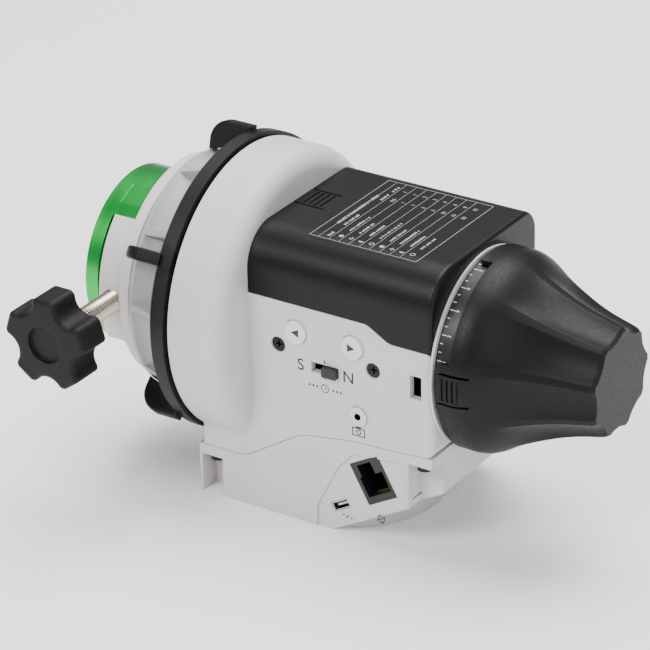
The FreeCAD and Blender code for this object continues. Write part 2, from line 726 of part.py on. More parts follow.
# ---------------------------------------------------------------- polar shaft and worm drive
def build_shaft():
    flange_start = "-socket_back"
    points = [("0", "shaft_bore"), ("0", "shaft_flange_radius"),
              ("shaft_flange_thickness", "shaft_flange_radius"),
              ("shaft_flange_thickness", "shaft_radius + 1"), ("socket_back", "shaft_radius + 1"),
              ("socket_back", "shaft_radius"), ("socket_back + drum_length", "shaft_radius"),
              ("socket_back + drum_length", "shaft_mid_radius"),
              ("socket_back + rear_bearing_start", "shaft_mid_radius"),
              ("socket_back + rear_bearing_start", "shaft_rear_radius"),
              ("socket_back + time_circle_web + 2", "shaft_rear_radius"),
              ("socket_back + time_circle_web + 2", "scope_bore"),
              ("socket_back + drum_length + 4", "scope_bore"),
              ("socket_back + drum_length", "shaft_bore - 2"), ("socket_back - 2", "shaft_bore - 2"),
              ("socket_back - 4", "shaft_bore")]
    finish("polar_shaft", turned("polar_shaft", flange_start, points))
    race = "fit_clearance"
    for label, start, width, outer, inner in (
            ("front_bearing", "front_bearing_start", "front_bearing_width",
             "front_bearing_radius", "shaft_radius"),
            ("rear_bearing", "rear_bearing_start + 0.2", "rear_bearing_width",
             "rear_bearing_radius", "shaft_rear_radius")):
        middle = "((%s) + (%s)) / 2" % (outer, inner)
        whole = ring(label, start, width, "%s - 0.02" % outer, "%s + %s" % (inner, race))
        grooves = [ring("%s_shield_%d" % (label, i), x, "0.5", middle + " + 1.3", middle + " - 1.3")
                   for i, x in enumerate(("(%s) - 0.1" % start, "(%s) + (%s) - 0.4" % (start, width)))]
        finish(label, cut(label + "_cut", whole, *grooves))
    nut = ring("shaft_nut_ring", "box_rear + 0.3", "1.6", "15", "shaft_rear_radius")
    notches = [about_axis("nut_notch_%d" % i, ("3", "3", "3"), "box_rear", "13.5", 90 * i)
               for i in range(4)]
    finish("shaft_nut", cut("shaft_nut", nut, *notches))
    friction = ring("clutch_disc", "-ring_back + 0.1", "0.7", "42",
                    "shaft_radius + 1 + fit_clearance")
    finish("clutch_disc", friction)


def tooth_outline(count, pitch_radius, addendum, dedendum, tip_share, root_share, first_angle):
    """Closed polygon of a gear with straight-sided teeth; angles in degrees."""
    pitch_angle = 360.0 / count
    points = []
    for i in range(count):
        middle = first_angle + i * pitch_angle
        for share, radius in ((-root_share, -dedendum), (-tip_share, addendum),
                              (tip_share, addendum), (root_share, -dedendum)):
            points.append((pitch_radius + radius, middle + share * pitch_angle / 2))
    return points


def gear_solid(points, start, width, bore, centre=(0, 0), along_y=False):
    """Gear cut from a toothed outline, with its bore."""
    corners = []
    for radius, degrees in points:
        u = centre[0] + radius * math.cos(math.radians(degrees))
        v = centre[1] + radius * math.sin(math.radians(degrees))
        corners.append(Vector(u, start, v) if along_y else Vector(start, u, v))
    face = Part.Face(Part.makePolygon(corners + corners[:1]))
    axis = Vector(0, 1, 0) if along_y else Vector(1, 0, 0)
    base = Vector(centre[0], start, centre[1]) if along_y else Vector(start, centre[0], centre[1])
    return face.extrude(axis * width).cut(Part.makeCylinder(bore, width, base, axis))


def build_worm_wheel():
    teeth = int(number("wheel_teeth"))
    pitch_radius = number("wheel_pitch_radius")
    addendum, dedendum = number("thread_addendum"), number("thread_dedendum")
    # a gap, not a tooth, faces straight down, where the worm's thread enters
    outline = tooth_outline(teeth, pitch_radius, addendum, dedendum, 0.26, 0.62,
                            270 + 180.0 / teeth)
    start, width = number("wheel_start"), number("wheel_width")
    rim = gear_solid(outline, start, width, number("shaft_radius"))
    web = Part.makeCylinder(pitch_radius - 5, 2, Vector(start - 0.5, 0, 0), Vector(1, 0, 0)).cut(
        Part.makeCylinder(number("wheel_hub_radius"), 2, Vector(start - 0.5, 0, 0), Vector(1, 0, 0)))
    back_web = web.copy()
    back_web.translate(Vector(width - 1, 0, 0))
    finish("worm_wheel", solid("worm_wheel", rim.cut(web).cut(back_web)))


def worm_centre():
    """Station and level of the worm's axis, which runs along Y under the wheel."""
    return (number("wheel_start + wheel_width / 2"),
            -number("wheel_pitch_radius + worm_pitch_radius"))


def build_worm():
    station, level = worm_centre()
    pitch = 2 * math.pi * number("wheel_pitch_radius") / number("wheel_teeth")
    turns = int(number("worm_turns"))
    length = pitch * turns
    radius = number("worm_pitch_radius")
    addendum, dedendum = number("thread_addendum"), number("thread_dedendum")
    root = radius - dedendum
    helix = Part.makeHelix(pitch, length, root)
    half_root, half_tip = 0.29 * pitch, 0.11 * pitch
    profile = Part.makePolygon([
        Vector(root - 0.3, 0, -half_root), Vector(radius + addendum, 0, -half_tip),
        Vector(radius + addendum, 0, half_tip), Vector(root - 0.3, 0, half_root),
        Vector(root - 0.3, 0, -half_root)])
    thread = Part.Wire(helix.Edges).makePipeShell([profile], True, True)
    core = Part.makeCylinder(root, length + pitch * 1.6, Vector(0, 0, -pitch * 0.8))
    worm = core.fuse(thread)
    # the thread's middle turn lies at y = 0, on the side that faces the wheel
    turn = Placement(Vector(station, -length / 2, level), Rotation(Matrix(
        0, 1, 0, 0, 0, 0, 1, 0, 1, 0, 0, 0, 0, 0, 0, 1)))
    worm.transformShape(turn.toMatrix())
    shaft_radius = number("worm_shaft_radius")
    gear_y = number("gear_station")
    back = number("worm_bearing_offset + worm_bearing_width")
    shaft = Part.makeCylinder(shaft_radius, gear_y + number("gear_width") + 1 + back,
                              Vector(station, -back, level), Vector(0, 1, 0))
    finish("worm", solid("worm", worm.fuse(shaft).removeSplitter()))
    module = number("gear_module")
    outline = tooth_outline(int(number("gear_teeth")), module * number("gear_teeth") / 2,
                            0.8 * module, 1.15 * module, 0.22, 0.62, gear_direction())
    gear = gear_solid(outline, gear_y, number("gear_width"), shaft_radius, (station, level), True)
    finish("worm_gear", solid("worm_gear", gear))


def gear_direction():
    """Direction from the worm gear to the pinion, in degrees above +X."""
    return number("motor_rise_angle")


def motor_centre():
    station, level = worm_centre()
    reach = number("gear_module * (gear_teeth + pinion_teeth) / 2")
    angle = math.radians(gear_direction())
    return station + reach * math.cos(angle), level + reach * math.sin(angle)


def build_drive():
    station, level = worm_centre()
    offset, width = number("worm_bearing_offset"), number("worm_bearing_width")
    bearing_radius, shaft_radius = number("worm_bearing_radius"), number("worm_shaft_radius")
    half, along = number("bracket_half"), Vector(0, 1, 0)
    bearings, seats, walls = [], [], []
    for start in (-offset - width, offset):
        outer = Part.makeCylinder(bearing_radius - 0.02, width, Vector(station, start, level), along)
        inner = Part.makeCylinder(shaft_radius + number("fit_clearance"), width,
                                  Vector(station, start, level), along)
        bearings.append(outer.cut(inner))
        seats.append(Part.makeCylinder(bearing_radius, width + 2, Vector(station, start - 1, level), along))
        walls.append(Part.makeBox(2 * half, width, number("axis_height") - 3.2 + level + 6,
                                  Vector(station - half, start, 3.2 - number("axis_height"))))
    finish("worm_bearings", solid("worm_bearings", Part.makeCompound(bearings)))
    floor = Part.makeBox(2 * half, 2 * (offset + width), 2.4,
                         Vector(station - half, -offset - width, 3.2 - number("axis_height")))
    bracket = floor.fuse(walls)
    for seat in seats:
        bracket = bracket.cut(seat)
    finish("worm_bracket", solid("worm_bracket", bracket.removeSplitter()))

    x, z = motor_centre()
    motor_radius, motor_length = number("motor_radius"), number("motor_length")
    face = number("gear_station") - 1.5
    can = Part.makeCylinder(motor_radius, motor_length, Vector(x, face - motor_length, z), along)
    nose = Part.makeCylinder(3, 0.8, Vector(x, face, z), along)
    bore = Part.makeCylinder(1.05, 12, Vector(x, face - 8, z), along)
    rear_cap = Part.makeCylinder(motor_radius - 2, 2, Vector(x, face - motor_length - 2, z), along)
    finish("motor", solid("motor", can.fuse([nose, rear_cap]).cut(bore)))
    module, teeth = number("gear_module"), int(number("pinion_teeth"))
    outline = tooth_outline(teeth, module * teeth / 2, 0.8 * module, 1.15 * module, 0.2, 0.6,
                            gear_direction() + 180 + 180.0 / teeth)
    pinion = gear_solid(outline, number("gear_station") - 0.3, number("gear_width + 0.6"), 0.9,
                        (x, z), True)
    spindle = Part.makeCylinder(1, number("gear_width") + 9, Vector(x, face - 7, z), along)
    finish("motor_pinion", solid("motor_pinion", pinion.fuse(spindle).removeSplitter()))


# ---------------------------------------------------------------- fluted shapes
def fluted_section(station, radius, count, depth, ridge_share, first_angle):
    """Wire round the axis: ridges at the full radius, hollowed by depth between them."""
    step = 360.0 / count
    ridge = step * ridge_share / 2
    edges = []
    for i in range(count):
        at = first_angle + i * step
        left = polar_point(station, radius, at - ridge)
        tip = polar_point(station, radius, at)
        right = polar_point(station, radius, at + ridge)
        after = polar_point(station, radius, at + step - ridge)
        hollow = polar_point(station, radius - depth, at + step / 2)
        edges += [Part.Arc(left, tip, right).toShape(), Part.Arc(right, hollow, after).toShape()]
    return Part.Wire(edges)


# Outline of the cap: share of its length, share of its radius, depth of the nine hollows.
CAP_OUTLINE = [(0, 1, 0.02), (0.085, 1, 0.02), (0.166, 0.991, 0.03), (0.257, 0.94, 0.15),
               (0.362, 0.851, 0.8), (0.529, 0.737, 1.9), (0.685, 0.649, 2), (0.838, 0.586, 1.9),
               (0.974, 0.54, 1.8), (1, 0.514, 1.75)]


def build_cap():
    start, end = number("cap_start"), number("cap_end")
    radius, wall = number("cap_radius"), number("cap_wall")
    count, first = int(number("cap_flutes")), number("cap_first_ridge")
    outline = [(start + along * (end - start), share * radius, depth)
               for along, share, depth in CAP_OUTLINE]
    sections = [fluted_section(x, r, count, depth, 0.16, first) for x, r, depth in outline]
    tip = Part.makeLoft([sections[-2], sections[-1]], True, True)
    shell = Part.makeLoft(sections[:-1], True, False).fuse(tip)
    inner = [Vector(start - 1, 0, 0), Vector(start - 1, 0, radius - wall),
             Vector(start + 0.145 * (end - start), 0, radius - wall)]
    inner += [Vector(x, 0, r - depth - wall - 0.3) for x, r, depth in outline[3:-1]]
    inner[-1].x = end - wall
    inner.append(Vector(end - wall, 0, 0))
    cavity = Part.Face(Part.makePolygon(inner + inner[:1])).revolve(
        Vector(0, 0, 0), Vector(1, 0, 0), 360)
    shell = shell.cut(cavity)
    # the flange is cut back over an arc, which shows the time circle
    window = Part.makeCylinder(radius + 1, 4.5, Vector(start - 0.01, 0, 0), Vector(1, 0, 0), 66)
    shell = shell.cut(rotated_to(window, 133))
    for side in (90, 270):
        for offset in (-9, 9):
            slot = Part.makeBox(12, 0.9, 5, Vector(start - 0.5, -0.45, radius - 3))
            slot.rotate(Vector(0, 0, 0), Vector(1, 0, 0), side + offset)
            shell = shell.cut(slot)
        for i in range(4):
            groove = Part.makeBox(0.9, 8, 2, Vector(start + 2 + 1.9 * i, -4, radius - 0.75))
            groove.rotate(Vector(0, 0, 0), Vector(1, 0, 0), side)
            shell = shell.cut(groove)
    finish("scope_cap", solid("scope_cap", shell))


def rotated_to(shape, degrees):
    """Copy of a slice turned about the polar axis until its middle faces the given angle."""
    middle = math.degrees(math.atan2(shape.CenterOfMass.z, shape.CenterOfMass.y))
    copy = shape.copy()
    copy.rotate(Vector(0, 0, 0), Vector(1, 0, 0), degrees - middle)
    return copy


def hub_pockets(front):
    """Round-bottomed groove about the hub, interrupted by the ribs it leaves standing."""
    count = int(number("hub_ribs"))
    width = number("hub_rib_width")
    groove = Part.makeTorus(number("hub_pocket_centre"), number("hub_pocket_radius"),
                            Vector(-number("hub_pocket_station"), 0, 0), Vector(1, 0, 0))
    for i in range(count):
        rib = Part.makeBox(30, width, 70, Vector(front - 5, -width / 2, 0))
        rib.rotate(Vector(0, 0, 0), Vector(1, 0, 0), number("hub_first_rib") - 90 + i * 360.0 / count)
        groove = groove.cut(rib)
    return groove


def clutch_fin():
    """Grip fin that stands on the ring and reaches over the hub, with a round shoulder."""
    back, top = 2 - number("ring_front"), number("fin_radius")
    front, corner = -number("fin_front"), number("fin_corner")
    thickness = number("fin_thickness")
    low_front, low_back = number("hub_front_radius") + 0.5, number("ring_inner") + 4.2
    skew = corner * (1 - math.sqrt(0.5))
    shoulder = Part.Arc(Vector(front + corner, -thickness / 2, top),
                        Vector(front + skew, -thickness / 2, top - skew),
                        Vector(front, -thickness / 2, top - corner)).toShape()
    ends = [(front, top - corner), (front, low_front),
            (-number("ring_front") - 0.05, number("hub_back_radius") + 0.3),
            (-number("ring_front"), low_back), (back, low_back), (back, top), (front + corner, top)]
    path = Part.makePolygon([Vector(x, -thickness / 2, z) for x, z in ends])
    face = Part.Face(Part.Wire(path.Edges + [shoulder]))
    fin = face.extrude(Vector(0, thickness, 0))
    outer = [e for e in fin.Edges if all(v.Z > top - corner - 0.01 for v in e.Vertexes)
             and abs(e.Vertexes[0].Y - e.Vertexes[-1].Y) < 0.01]
    return fin.makeFillet(number("fin_softening"), outer)


def build_clutch():
    front, back = -number("hub_front"), -number("ring_back + 0.3")
    ring_front = -number("ring_front")
    hub = Part.makeCone(number("hub_front_radius"), number("hub_back_radius"), ring_front - front,
                        Vector(front, 0, 0), Vector(1, 0, 0))
    rear = Part.makeCylinder(number("ring_inner - 0.05"), back - ring_front, Vector(ring_front, 0, 0),
                             Vector(1, 0, 0))
    bore = Part.makeCylinder(number("shaft_radius + 1 + fit_clearance"), 40, Vector(front - 1, 0, 0),
                             Vector(1, 0, 0))
    recess = Part.makeCylinder(number("shaft_flange_radius + turn_clearance"),
                               number("shaft_flange_thickness + hub_front - socket_back + 0.4 + 1"),
                               Vector(front - 1, 0, 0), Vector(1, 0, 0))
    shape = hub.cut(hub_pockets(front)).fuse(rear).cut(bore).cut(recess)
    finish("clutch_hub", solid("clutch_hub", shape))

    inner, outer = number("ring_inner"), number("ring_outer")
    length = number("ring_front - ring_back")
    band = Part.makeCylinder(outer, length - 1, Vector(ring_front + 1, 0, 0), Vector(1, 0, 0))
    band = band.fuse(Part.makeCone(outer - 1, outer, 1, Vector(ring_front, 0, 0), Vector(1, 0, 0)))
    fins = []
    for i in range(int(number("fin_count"))):
        fin = clutch_fin()
        fin.rotate(Vector(0, 0, 0), Vector(1, 0, 0),
                   number("fin_first_angle") - 90 + i * 360.0 / number("fin_count"))
        fins.append(fin)
    band = band.fuse(fins).cut(Part.makeCylinder(inner, length + 2, Vector(ring_front - 1, 0, 0),
                                                 Vector(1, 0, 0)))
    finish("clutch_ring", solid("clutch_ring", band.removeSplitter()))


# ---------------------------------------------------------------- camera socket end
def soft_edged(name, base, radius, test):
    """Fillet feature on the base's edges whose every vertex passes the test."""
    doc.recompute()
    numbers = [int(edge[4:]) for edge in edges_where(base.Shape, test)]
    item = doc.addObject("Part::Fillet", name)
    item.Base = base
    item.Edges = [(i, radius, radius) for i in numbers]
    doc.recompute()
    return item


def build_socket():
    disc = ring("socket_disc", "-socket_front", "socket_front - socket_back", "socket_radius",
                "shaft_bore")
    outer = sector("boss_outer", "-boss_front", "boss_front - socket_front + 0.5", "boss_outer_radius",
                   "boss_start_angle", "boss_sweep")
    core = cylinder("boss_core", "boss_inner_radius", "boss_front - socket_front + 0.5",
                    ("-boss_front", "0", "0"))
    front_x = -number("boss_front + tripod_station")
    rim = number("boss_outer_radius") - 0.1
    boss = soft_edged("lock_boss", cut("lock_boss_block", outer, core), number("boss_softening"),
                      lambda p: p.x < front_x + 0.01 and math.hypot(p.y, p.z - number("axis_height")) > rim)
    screw_way = cylinder("lock_screw_way", "lock_screw_radius + 0.1", "30",
                         ("-lock_station", "-socket_radius - 5", "0"), "Y")
    holes = []
    for i in range(4):
        at = polar_point(0, 18.5, 45 + 90 * i)
        holes.append(cylinder("socket_screw_hole_%d" % i, "1.6", "8",
                              ("-socket_front - 1", "%.4f" % at.y, "%.4f" % at.z)))
        holes.append(cylinder("socket_screw_sink_%d" % i, "3", "2.7",
                              ("-socket_front - 0.5", "%.4f" % at.y, "%.4f" % at.z)))
    finish("camera_socket", cut("camera_socket", fuse("socket_solid", disc, boss), screw_way, *holes))
    screws = []
    for i in range(4):
        at = polar_point(0, 18.5, 45 + 90 * i)
        head = cylinder("socket_head_%d" % i, "2.7", "2.1",
                        ("-socket_front + 0.1", "%.4f" % at.y, "%.4f" % at.z))
        hexagon = cylinder("socket_hex_%d" % i, "1.25", "1.2",
                           ("-socket_front", "%.4f" % at.y, "%.4f" % at.z))
        shank = cylinder("socket_shank_%d" % i, "1.5", "1.9",
                         ("-socket_front + 2.1", "%.4f" % at.y, "%.4f" % at.z))
        screws.append(cut("socket_screw_%d" % i, fuse("socket_screw_solid_%d" % i, head, shank), hexagon))
    finish("socket_screws", group("socket_screws", *screws))


def build_adapter():
    puck = ring("adapter_puck", "-adapter_front", "adapter_front - adapter_back", "adapter_radius",
                "stud_shank_radius")
    notch = cut("adapter_notch",
                sector("notch_outer", "-adapter_front + adapter_rim", "adapter_front", "adapter_radius + 2",
                       "boss_start_angle - notch_margin_angle", "boss_sweep + 2 * notch_margin_angle"),
                cylinder("notch_core", "notch_radius", "adapter_front + 2",
                         ("-adapter_front + adapter_rim - 1", "0", "0")))
    windows = []
    for i in range(6):
        degrees = number("window_first_angle") - i * number("window_pitch")
        windows.append(about_axis("adapter_window_%d" % i,
                                  ("window_length", "window_width", "window_depth + 2"),
                                  "-adapter_front + adapter_rim + 0.4",
                                  "adapter_radius - window_depth", degrees))
    finish("adapter", cut("adapter", puck, notch, *windows))
    stud = turned("adapter_stud", "-adapter_front - stud_reach", [
        ("0", "0"), ("stud_reach + 14", "0"), ("stud_reach + 14", "stud_shank_radius"),
        ("stud_reach", "stud_shank_radius"), ("stud_reach", "stud_radius"), ("0.8", "stud_radius"),
        ("0", "stud_radius - 0.8")])
    finish("adapter_stud", stud)
    finish("adapter_pad", ring("adapter_pad", "-adapter_front - pad_thickness", "pad_thickness",
                               "adapter_radius - 3", "stud_radius + 4"))


def knob_outline():
    """Corners and valleys of the five-lobed grip, about the screw's axis (x, z)."""
    radius, valley = number("knob_radius"), number("knob_valley")
    half = math.degrees(math.asin(number("knob_lobe_half") / radius))
    station = -number("lock_station")

    def at(r, degrees):
        return Vector(station + r * math.cos(math.radians(degrees)), 0,
                      r * math.sin(math.radians(degrees)))

    edges = []
    for i in range(5):
        middle = 90 + 72 * i
        left, right = at(radius, middle + half), at(radius, middle - half)
        after = at(radius, middle - 72 + half)
        edges.append(Part.LineSegment(left, right).toShape())
        edges.append(Part.Arc(right, at(valley, middle - 36), after).toShape())
    return Part.Wire(Part.__sortEdges__(edges))


def build_lock():
    station, level = -number("lock_station"), 0
    front, back = -number("knob_front"), -number("knob_back")
    along = Vector(0, 1, 0)
    wire = knob_outline()
    wire.translate(Vector(0, front, 0))
    grip = Part.Face(wire).extrude(along * (back - front))
    upright = [e for e in grip.Edges if e.Length > back - front - 0.01
               and abs(e.Vertexes[0].Y - e.Vertexes[-1].Y) > back - front - 0.01]
    grip = grip.makeFillet(number("knob_corner"), upright)
    rims = [e for e in grip.Edges if all(abs(v.Y - front) < 0.01 for v in e.Vertexes)]
    grip = grip.makeFillet(number("knob_rim"), rims)
    neck = Part.makeCone(9, 7, 3, Vector(station, back, level), along)
    dish = Part.makeCylinder(6.6, 1.2, Vector(station, front, level), along)
    bore = Part.makeCylinder(number("lock_screw_radius") - 0.35, 30, Vector(station, front + 4, level), along)
    finish("lock_knob", solid("lock_knob", grip.fuse(neck).cut(dish).cut(bore)))
    tip = -number("lock_tip_reach")
    screw = turned_about_screw([(front + 4, 0), (front + 4, 3.65), (back + 3.2, 3.65),
                                (back + 3.2, number("lock_screw_radius")),
                                (tip - 1, number("lock_screw_radius")),
                                (tip, number("lock_screw_radius") - 1), (tip, 0)])
    finish("lock_screw", solid("lock_screw", screw))
    pad = turned_about_screw([(tip + 0.05, 0), (tip + 0.05, 3.6), (-number("notch_radius") - 0.15, 3.6),
                              (-number("notch_radius") - 0.15, 0)])
    finish("lock_pad", solid("lock_pad", pad))


def turned_about_screw(profile):
    """Solid turned about the lock screw's axis; the profile is (y, radius)."""
    station = -number("lock_station")
    corners = [Vector(station + r, y, 0) for y, r in profile]
    face = Part.Face(Part.makePolygon(corners + corners[:1]))
    return face.revolve(Vector(station, 0, 0), Vector(0, 1, 0), 360)


# ---------------------------------------------------------------- polar scope
def build_scope():
    tube = turned("scope_tube", "-14", [
        ("0", "scope_bore - 1.3"), ("0", "scope_bore - 0.3"), ("111.5", "scope_bore - 0.3"),
        ("111.5", "14"), ("115", "14"), ("115", "scope_bore - 1.3")])
    finish("scope_tube", tube)
    finish("objective_lens", ring_free("objective_lens", "-12", "3", "scope_bore - 1.35"))
    finish("reticle", ring_free("reticle", "92", "1.2", "scope_bore - 1.35"))
    finish("time_circle", turned("time_circle", "time_circle_start", [
        ("time_circle_web - time_circle_start", "shaft_rear_radius"),
        ("time_circle_web - time_circle_start", "time_circle_radius - 2"),
        ("0", "time_circle_radius - 2"), ("0", "time_circle_radius"),
        ("time_circle_end - time_circle_start", "time_circle_radius"),
        ("time_circle_end - time_circle_start", "time_circle_radius - 2"),
        ("time_circle_web - time_circle_start + 2", "time_circle_radius - 2"),
        ("time_circle_web - time_circle_start + 2", "shaft_rear_radius")]))
    finish("date_ring", turned("date_ring", "97.6", [
        ("0", "14.1"), ("0", "date_ring_radius - 1"), ("1", "date_ring_radius"),
        ("3.4", "date_ring_radius"), ("3.4", "14.1")]))
    finish("eyepiece", turned("eyepiece", "101.2", [
        ("0", "scope_bore - 1.3"), ("0", "14"), ("1.6", "14"), ("1.6", "eyepiece_radius"),
        ("eyepiece_end - 101.2", "eyepiece_radius"), ("eyepiece_end - 101.2", "scope_bore - 1.3")]))
    finish("eye_lens", ring_free("eye_lens", "eyepiece_end - 6", "3", "scope_bore - 1.35"))
    grip = ring("focus_grip", "103.4", "9", "focus_ring_radius", "eyepiece_radius + fit_clearance")
    flutes = [about_axis("focus_flute_%d" % i, ("7", "1.2", "2"), "104.4", "focus_ring_radius - 0.6",
                         15 * i) for i in range(24)]
    finish("focus_ring", cut("focus_ring", grip, *flutes))
    finish("eye_cup", turned("eye_cup", "eyepiece_end", [
        ("0", "scope_bore - 1.3"), ("0", "eyepiece_radius"), ("4.5", "eyepiece_radius + 1.5"),
        ("4.5", "eyepiece_radius - 0.5")]))


def ring_free(name, start, length, radius):
    """Plain disc about the polar axis."""
    return turned(name, start, [("0", "0"), (length, "0"), (length, radius), ("0", radius)])


# ---------------------------------------------------------------- electronics and controls
def build_controls():
    board_y = ("-23", "-21.4")
    board = span("board_plate", ("27", "81"), board_y, ("-26.5", "6.6"))
    finish("circuit_board", board)
    switches = []
    for side in ("left", "right"):
        outer = ("button_" + side, "-box_front - button_stand", "button_level")
        stem = cylinder("button_stem_" + side, "button_radius", "shell_wall + button_stand + 0.2", outer, "Y")
        flange = cylinder("button_flange_" + side, "button_radius + 1.1", "0.8",
                          ("button_" + side, "-box_front + shell_wall + 0.1", "button_level"), "Y")
        finish("button_" + side, fuse("button_%s_body" % side, stem, flange))
        base = block("tact_base_" + side, ("6", "3.2", "5"),
                     ("button_%s - 3" % side, "-26.2", "button_level - 3.4"))
        top = cylinder("tact_top_" + side, "1.6", "1.6",
                       ("button_" + side, "-27.7", "button_level - 0.9"), "Y")
        switches.append(fuse("tact_" + side, base, top))
    finish("tact_switches", group("tact_switches", *switches))
    middle = "(slot_start + slot_end) / 2"
    finish("slide_switch", block("slide_switch", ("14", "4.9", "7"),
                                 (middle + " - 7", "-27.9", "-slot_level - 3.5")))
    thumb = block("slider_thumb", ("slider_length", "6.4", "slot_height - 0.4"),
                  ("slot_end - slider_length - 0.15", "-box_front - 2.2", "-slot_level - slot_height / 2 + 0.2"))
    plate = block("slider_plate", ("slider_length + 1", "0.9", "slot_height + 1.6"),
                  ("slot_end - slider_length - 0.65", "-29.2", "-slot_level - slot_height / 2 - 0.8"))
    finish("switch_slider", fuse("switch_slider", thumb, plate))
    bezel = cylinder("snap_bezel", "snap_radius", "0.7", ("snap_station", "-box_front - 0.7", "-snap_level"), "Y")
    barrel = cylinder("snap_barrel", "snap_radius - 0.5", "9.4",
                      ("snap_station", "-box_front - 0.1", "-snap_level"), "Y")
    bore = cylinder("snap_bore_tool", "snap_bore", "8.7", ("snap_station", "-box_front - 0.8", "-snap_level"), "Y")
    finish("snap_jack", cut("snap_jack", fuse("snap_body", bezel, barrel), bore))
    turn = Rotation(Vector(0, 1, 0), -number("port_angle"))

    def port_block(name, port, size, right, up, start):
        """Block in a port's own directions; start is how far its front is behind the panel."""
        x, level = port_point(port, right, up)
        return centred_block(name, size, (x, "-box_front + (%s) + (%s) / 2" % (start, size[1]), level),
                             turn)

    case = port_block("guider_case", "guider", ("guider_width", "guider_depth", "guider_height"),
                      0, 0, "0.9")
    plug_way = port_block("guider_plug_way", "guider", ("10", "11.4", "7.4"), 0, -1.6, "0.7")
    latch_way = port_block("guider_latch_way", "guider", ("6", "11.4", "5"), -1, 4, "0.7")
    finish("guider_jack", cut("guider_jack", case, plug_way, latch_way))
    wires = [port_block("guider_wire_%d" % i, "guider", ("0.45", "8", "0.45"), 1.05 * (i - 2.5), -4.9,
                        "4") for i in range(6)]
    finish("guider_contacts", group("guider_contacts", *wires))
    shell = port_block("usb_outer", "usb", ("usb_width - 0.1", "8", "usb_height - 0.1"), 0, 0, "0.9")
    space = port_block("usb_inner", "usb", ("usb_width - 0.9", "7", "usb_height - 0.9"), 0, 0, "0.8")
    tongue = port_block("usb_tongue", "usb", ("usb_width - 2.4", "6.4", "0.8"), 0, 0, "2.1")
    finish("power_socket", fuse("power_socket", cut("usb_shell", shell, space), tongue))
    dial = cylinder("dial_disc", "dial_radius", "dial_height",
                    ("dial_station", "box_back + 0.4", "-dial_level"), "Y")
    grips = []
    for i in range(20):
        angle = math.radians(18 * i)
        grips.append(cylinder("dial_flute_%d" % i, "1", "dial_height",
                              ("dial_station + (dial_radius + 0.35) * (%.6f)" % math.cos(angle),
                               "box_back + 0.3",
                               "-dial_level + (dial_radius + 0.35) * (%.6f)" % math.sin(angle)), "Y"))
    spindle = cylinder("dial_spindle", "3", "shell_wall + 2",
                       ("dial_station", "box_back - shell_wall - 1.5", "-dial_level"), "Y")
    finish("mode_dial", fuse("mode_dial", cut("dial_grip", dial, *grips), spindle))
    finish("mode_switch", block("mode_switch", ("14", "6", "14"),
                                ("dial_station - 7", "box_back - shell_wall - 8", "-dial_level - 7")))


def screw(name, at, along, length):
    """Pan-head machine screw with a cross recess; at is the head's outer face centre."""
    axis = {"Y": Vector(0, 1, 0), "Z": Vector(0, 0, 1)}[along]
    origin = Vector(*[number(text) for text in at])
    head_radius, head = number("screw_head_radius"), number("screw_head_height")
    shape = Part.makeCylinder(head_radius, head, origin, axis)
    shape = shape.fuse(Part.makeCylinder(number("screw_radius"), length, origin + axis * head, axis))
    for size in ((2.8, 0.6), (0.6, 2.8)):
        if along == "Y":
            slot = Part.makeBox(size[0], 1.2, size[1], origin - Vector(size[0] / 2, 0.01, size[1] / 2))
        else:
            slot = Part.makeBox(size[0], size[1], 1.2, origin - Vector(size[0] / 2, size[1] / 2, 0.01))
        shape = shape.cut(slot)
    return shape


def build_fasteners():
    face = [screw("face", ("face_screw_" + side, "-box_front - 0.8 + 1.4", "-face_screw_level"), "Y", 6.5)
            for side in ("left", "right")]
    finish("face_screws", solid("face_screws", Part.makeCompound(face)))
    base = [screw("base", (x, y, z + " - pocket_lip - screw_head_height"), "Z", 8.5)
            for x, y, z, _ in SCREW_POSTS]
    finish("base_screws", solid("base_screws", Part.makeCompound(base)))
    insert = ring_upright("tripod_insert", "insert_radius - 0.02", "tripod_thread_radius",
                          "tripod_thread_length")
    finish("tripod_insert", insert)


def ring_upright(name, outer, inner, length):
    at = ("tripod_station", "0", "-axis_height")
    return cut(name, cylinder(name + "_outer", outer, length, at, "Z"),
               cylinder(name + "_bore", inner, "(%s) + 2" % length,
                        (at[0], at[1], "-axis_height - 1"), "Z"))


for build in (build_main_housing, build_base_housing, build_battery_cover, build_battery_bay,
              build_shaft, build_worm_wheel, build_worm, build_drive, build_cap, build_clutch,
              build_socket, build_adapter, build_lock, build_scope, build_controls,
              build_fasteners):
    build()
doc.recompute()

faults = [o.Label for o in doc.Objects if {"Invalid", "Error"} & set(o.State)]
faults += [label for label, item in FINISHED.items()
           if item.Shape.isNull() or not item.Shape.isValid() or not item.Shape.Solids]
if faults:
    raise RuntimeError("these did not build: " + ", ".join(faults))

os.makedirs("parts", exist_ok=True)
for label, item in FINISHED.items():
    item.Shape.exportStep("parts/%s.step" % label)
print("%d sub-parts" % len(FINISHED))
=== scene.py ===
"""Looks of a motor-driven star tracker head, built round its fixed model.

The polar axis runs along X, from the camera adapter at -X to the eyepiece at +X. The
control panel faces -Y and the battery cover is on top. Lengths in the classes below are
in millimetres: stations run along X from the drum's front face and levels up from the
polar axis.
"""
import logging
import math
import random
from dataclasses import dataclass, field
from enum import Enum
from typing import Callable, Iterable, Sequence

import bmesh
import bpy
from mathutils import Matrix, Vector


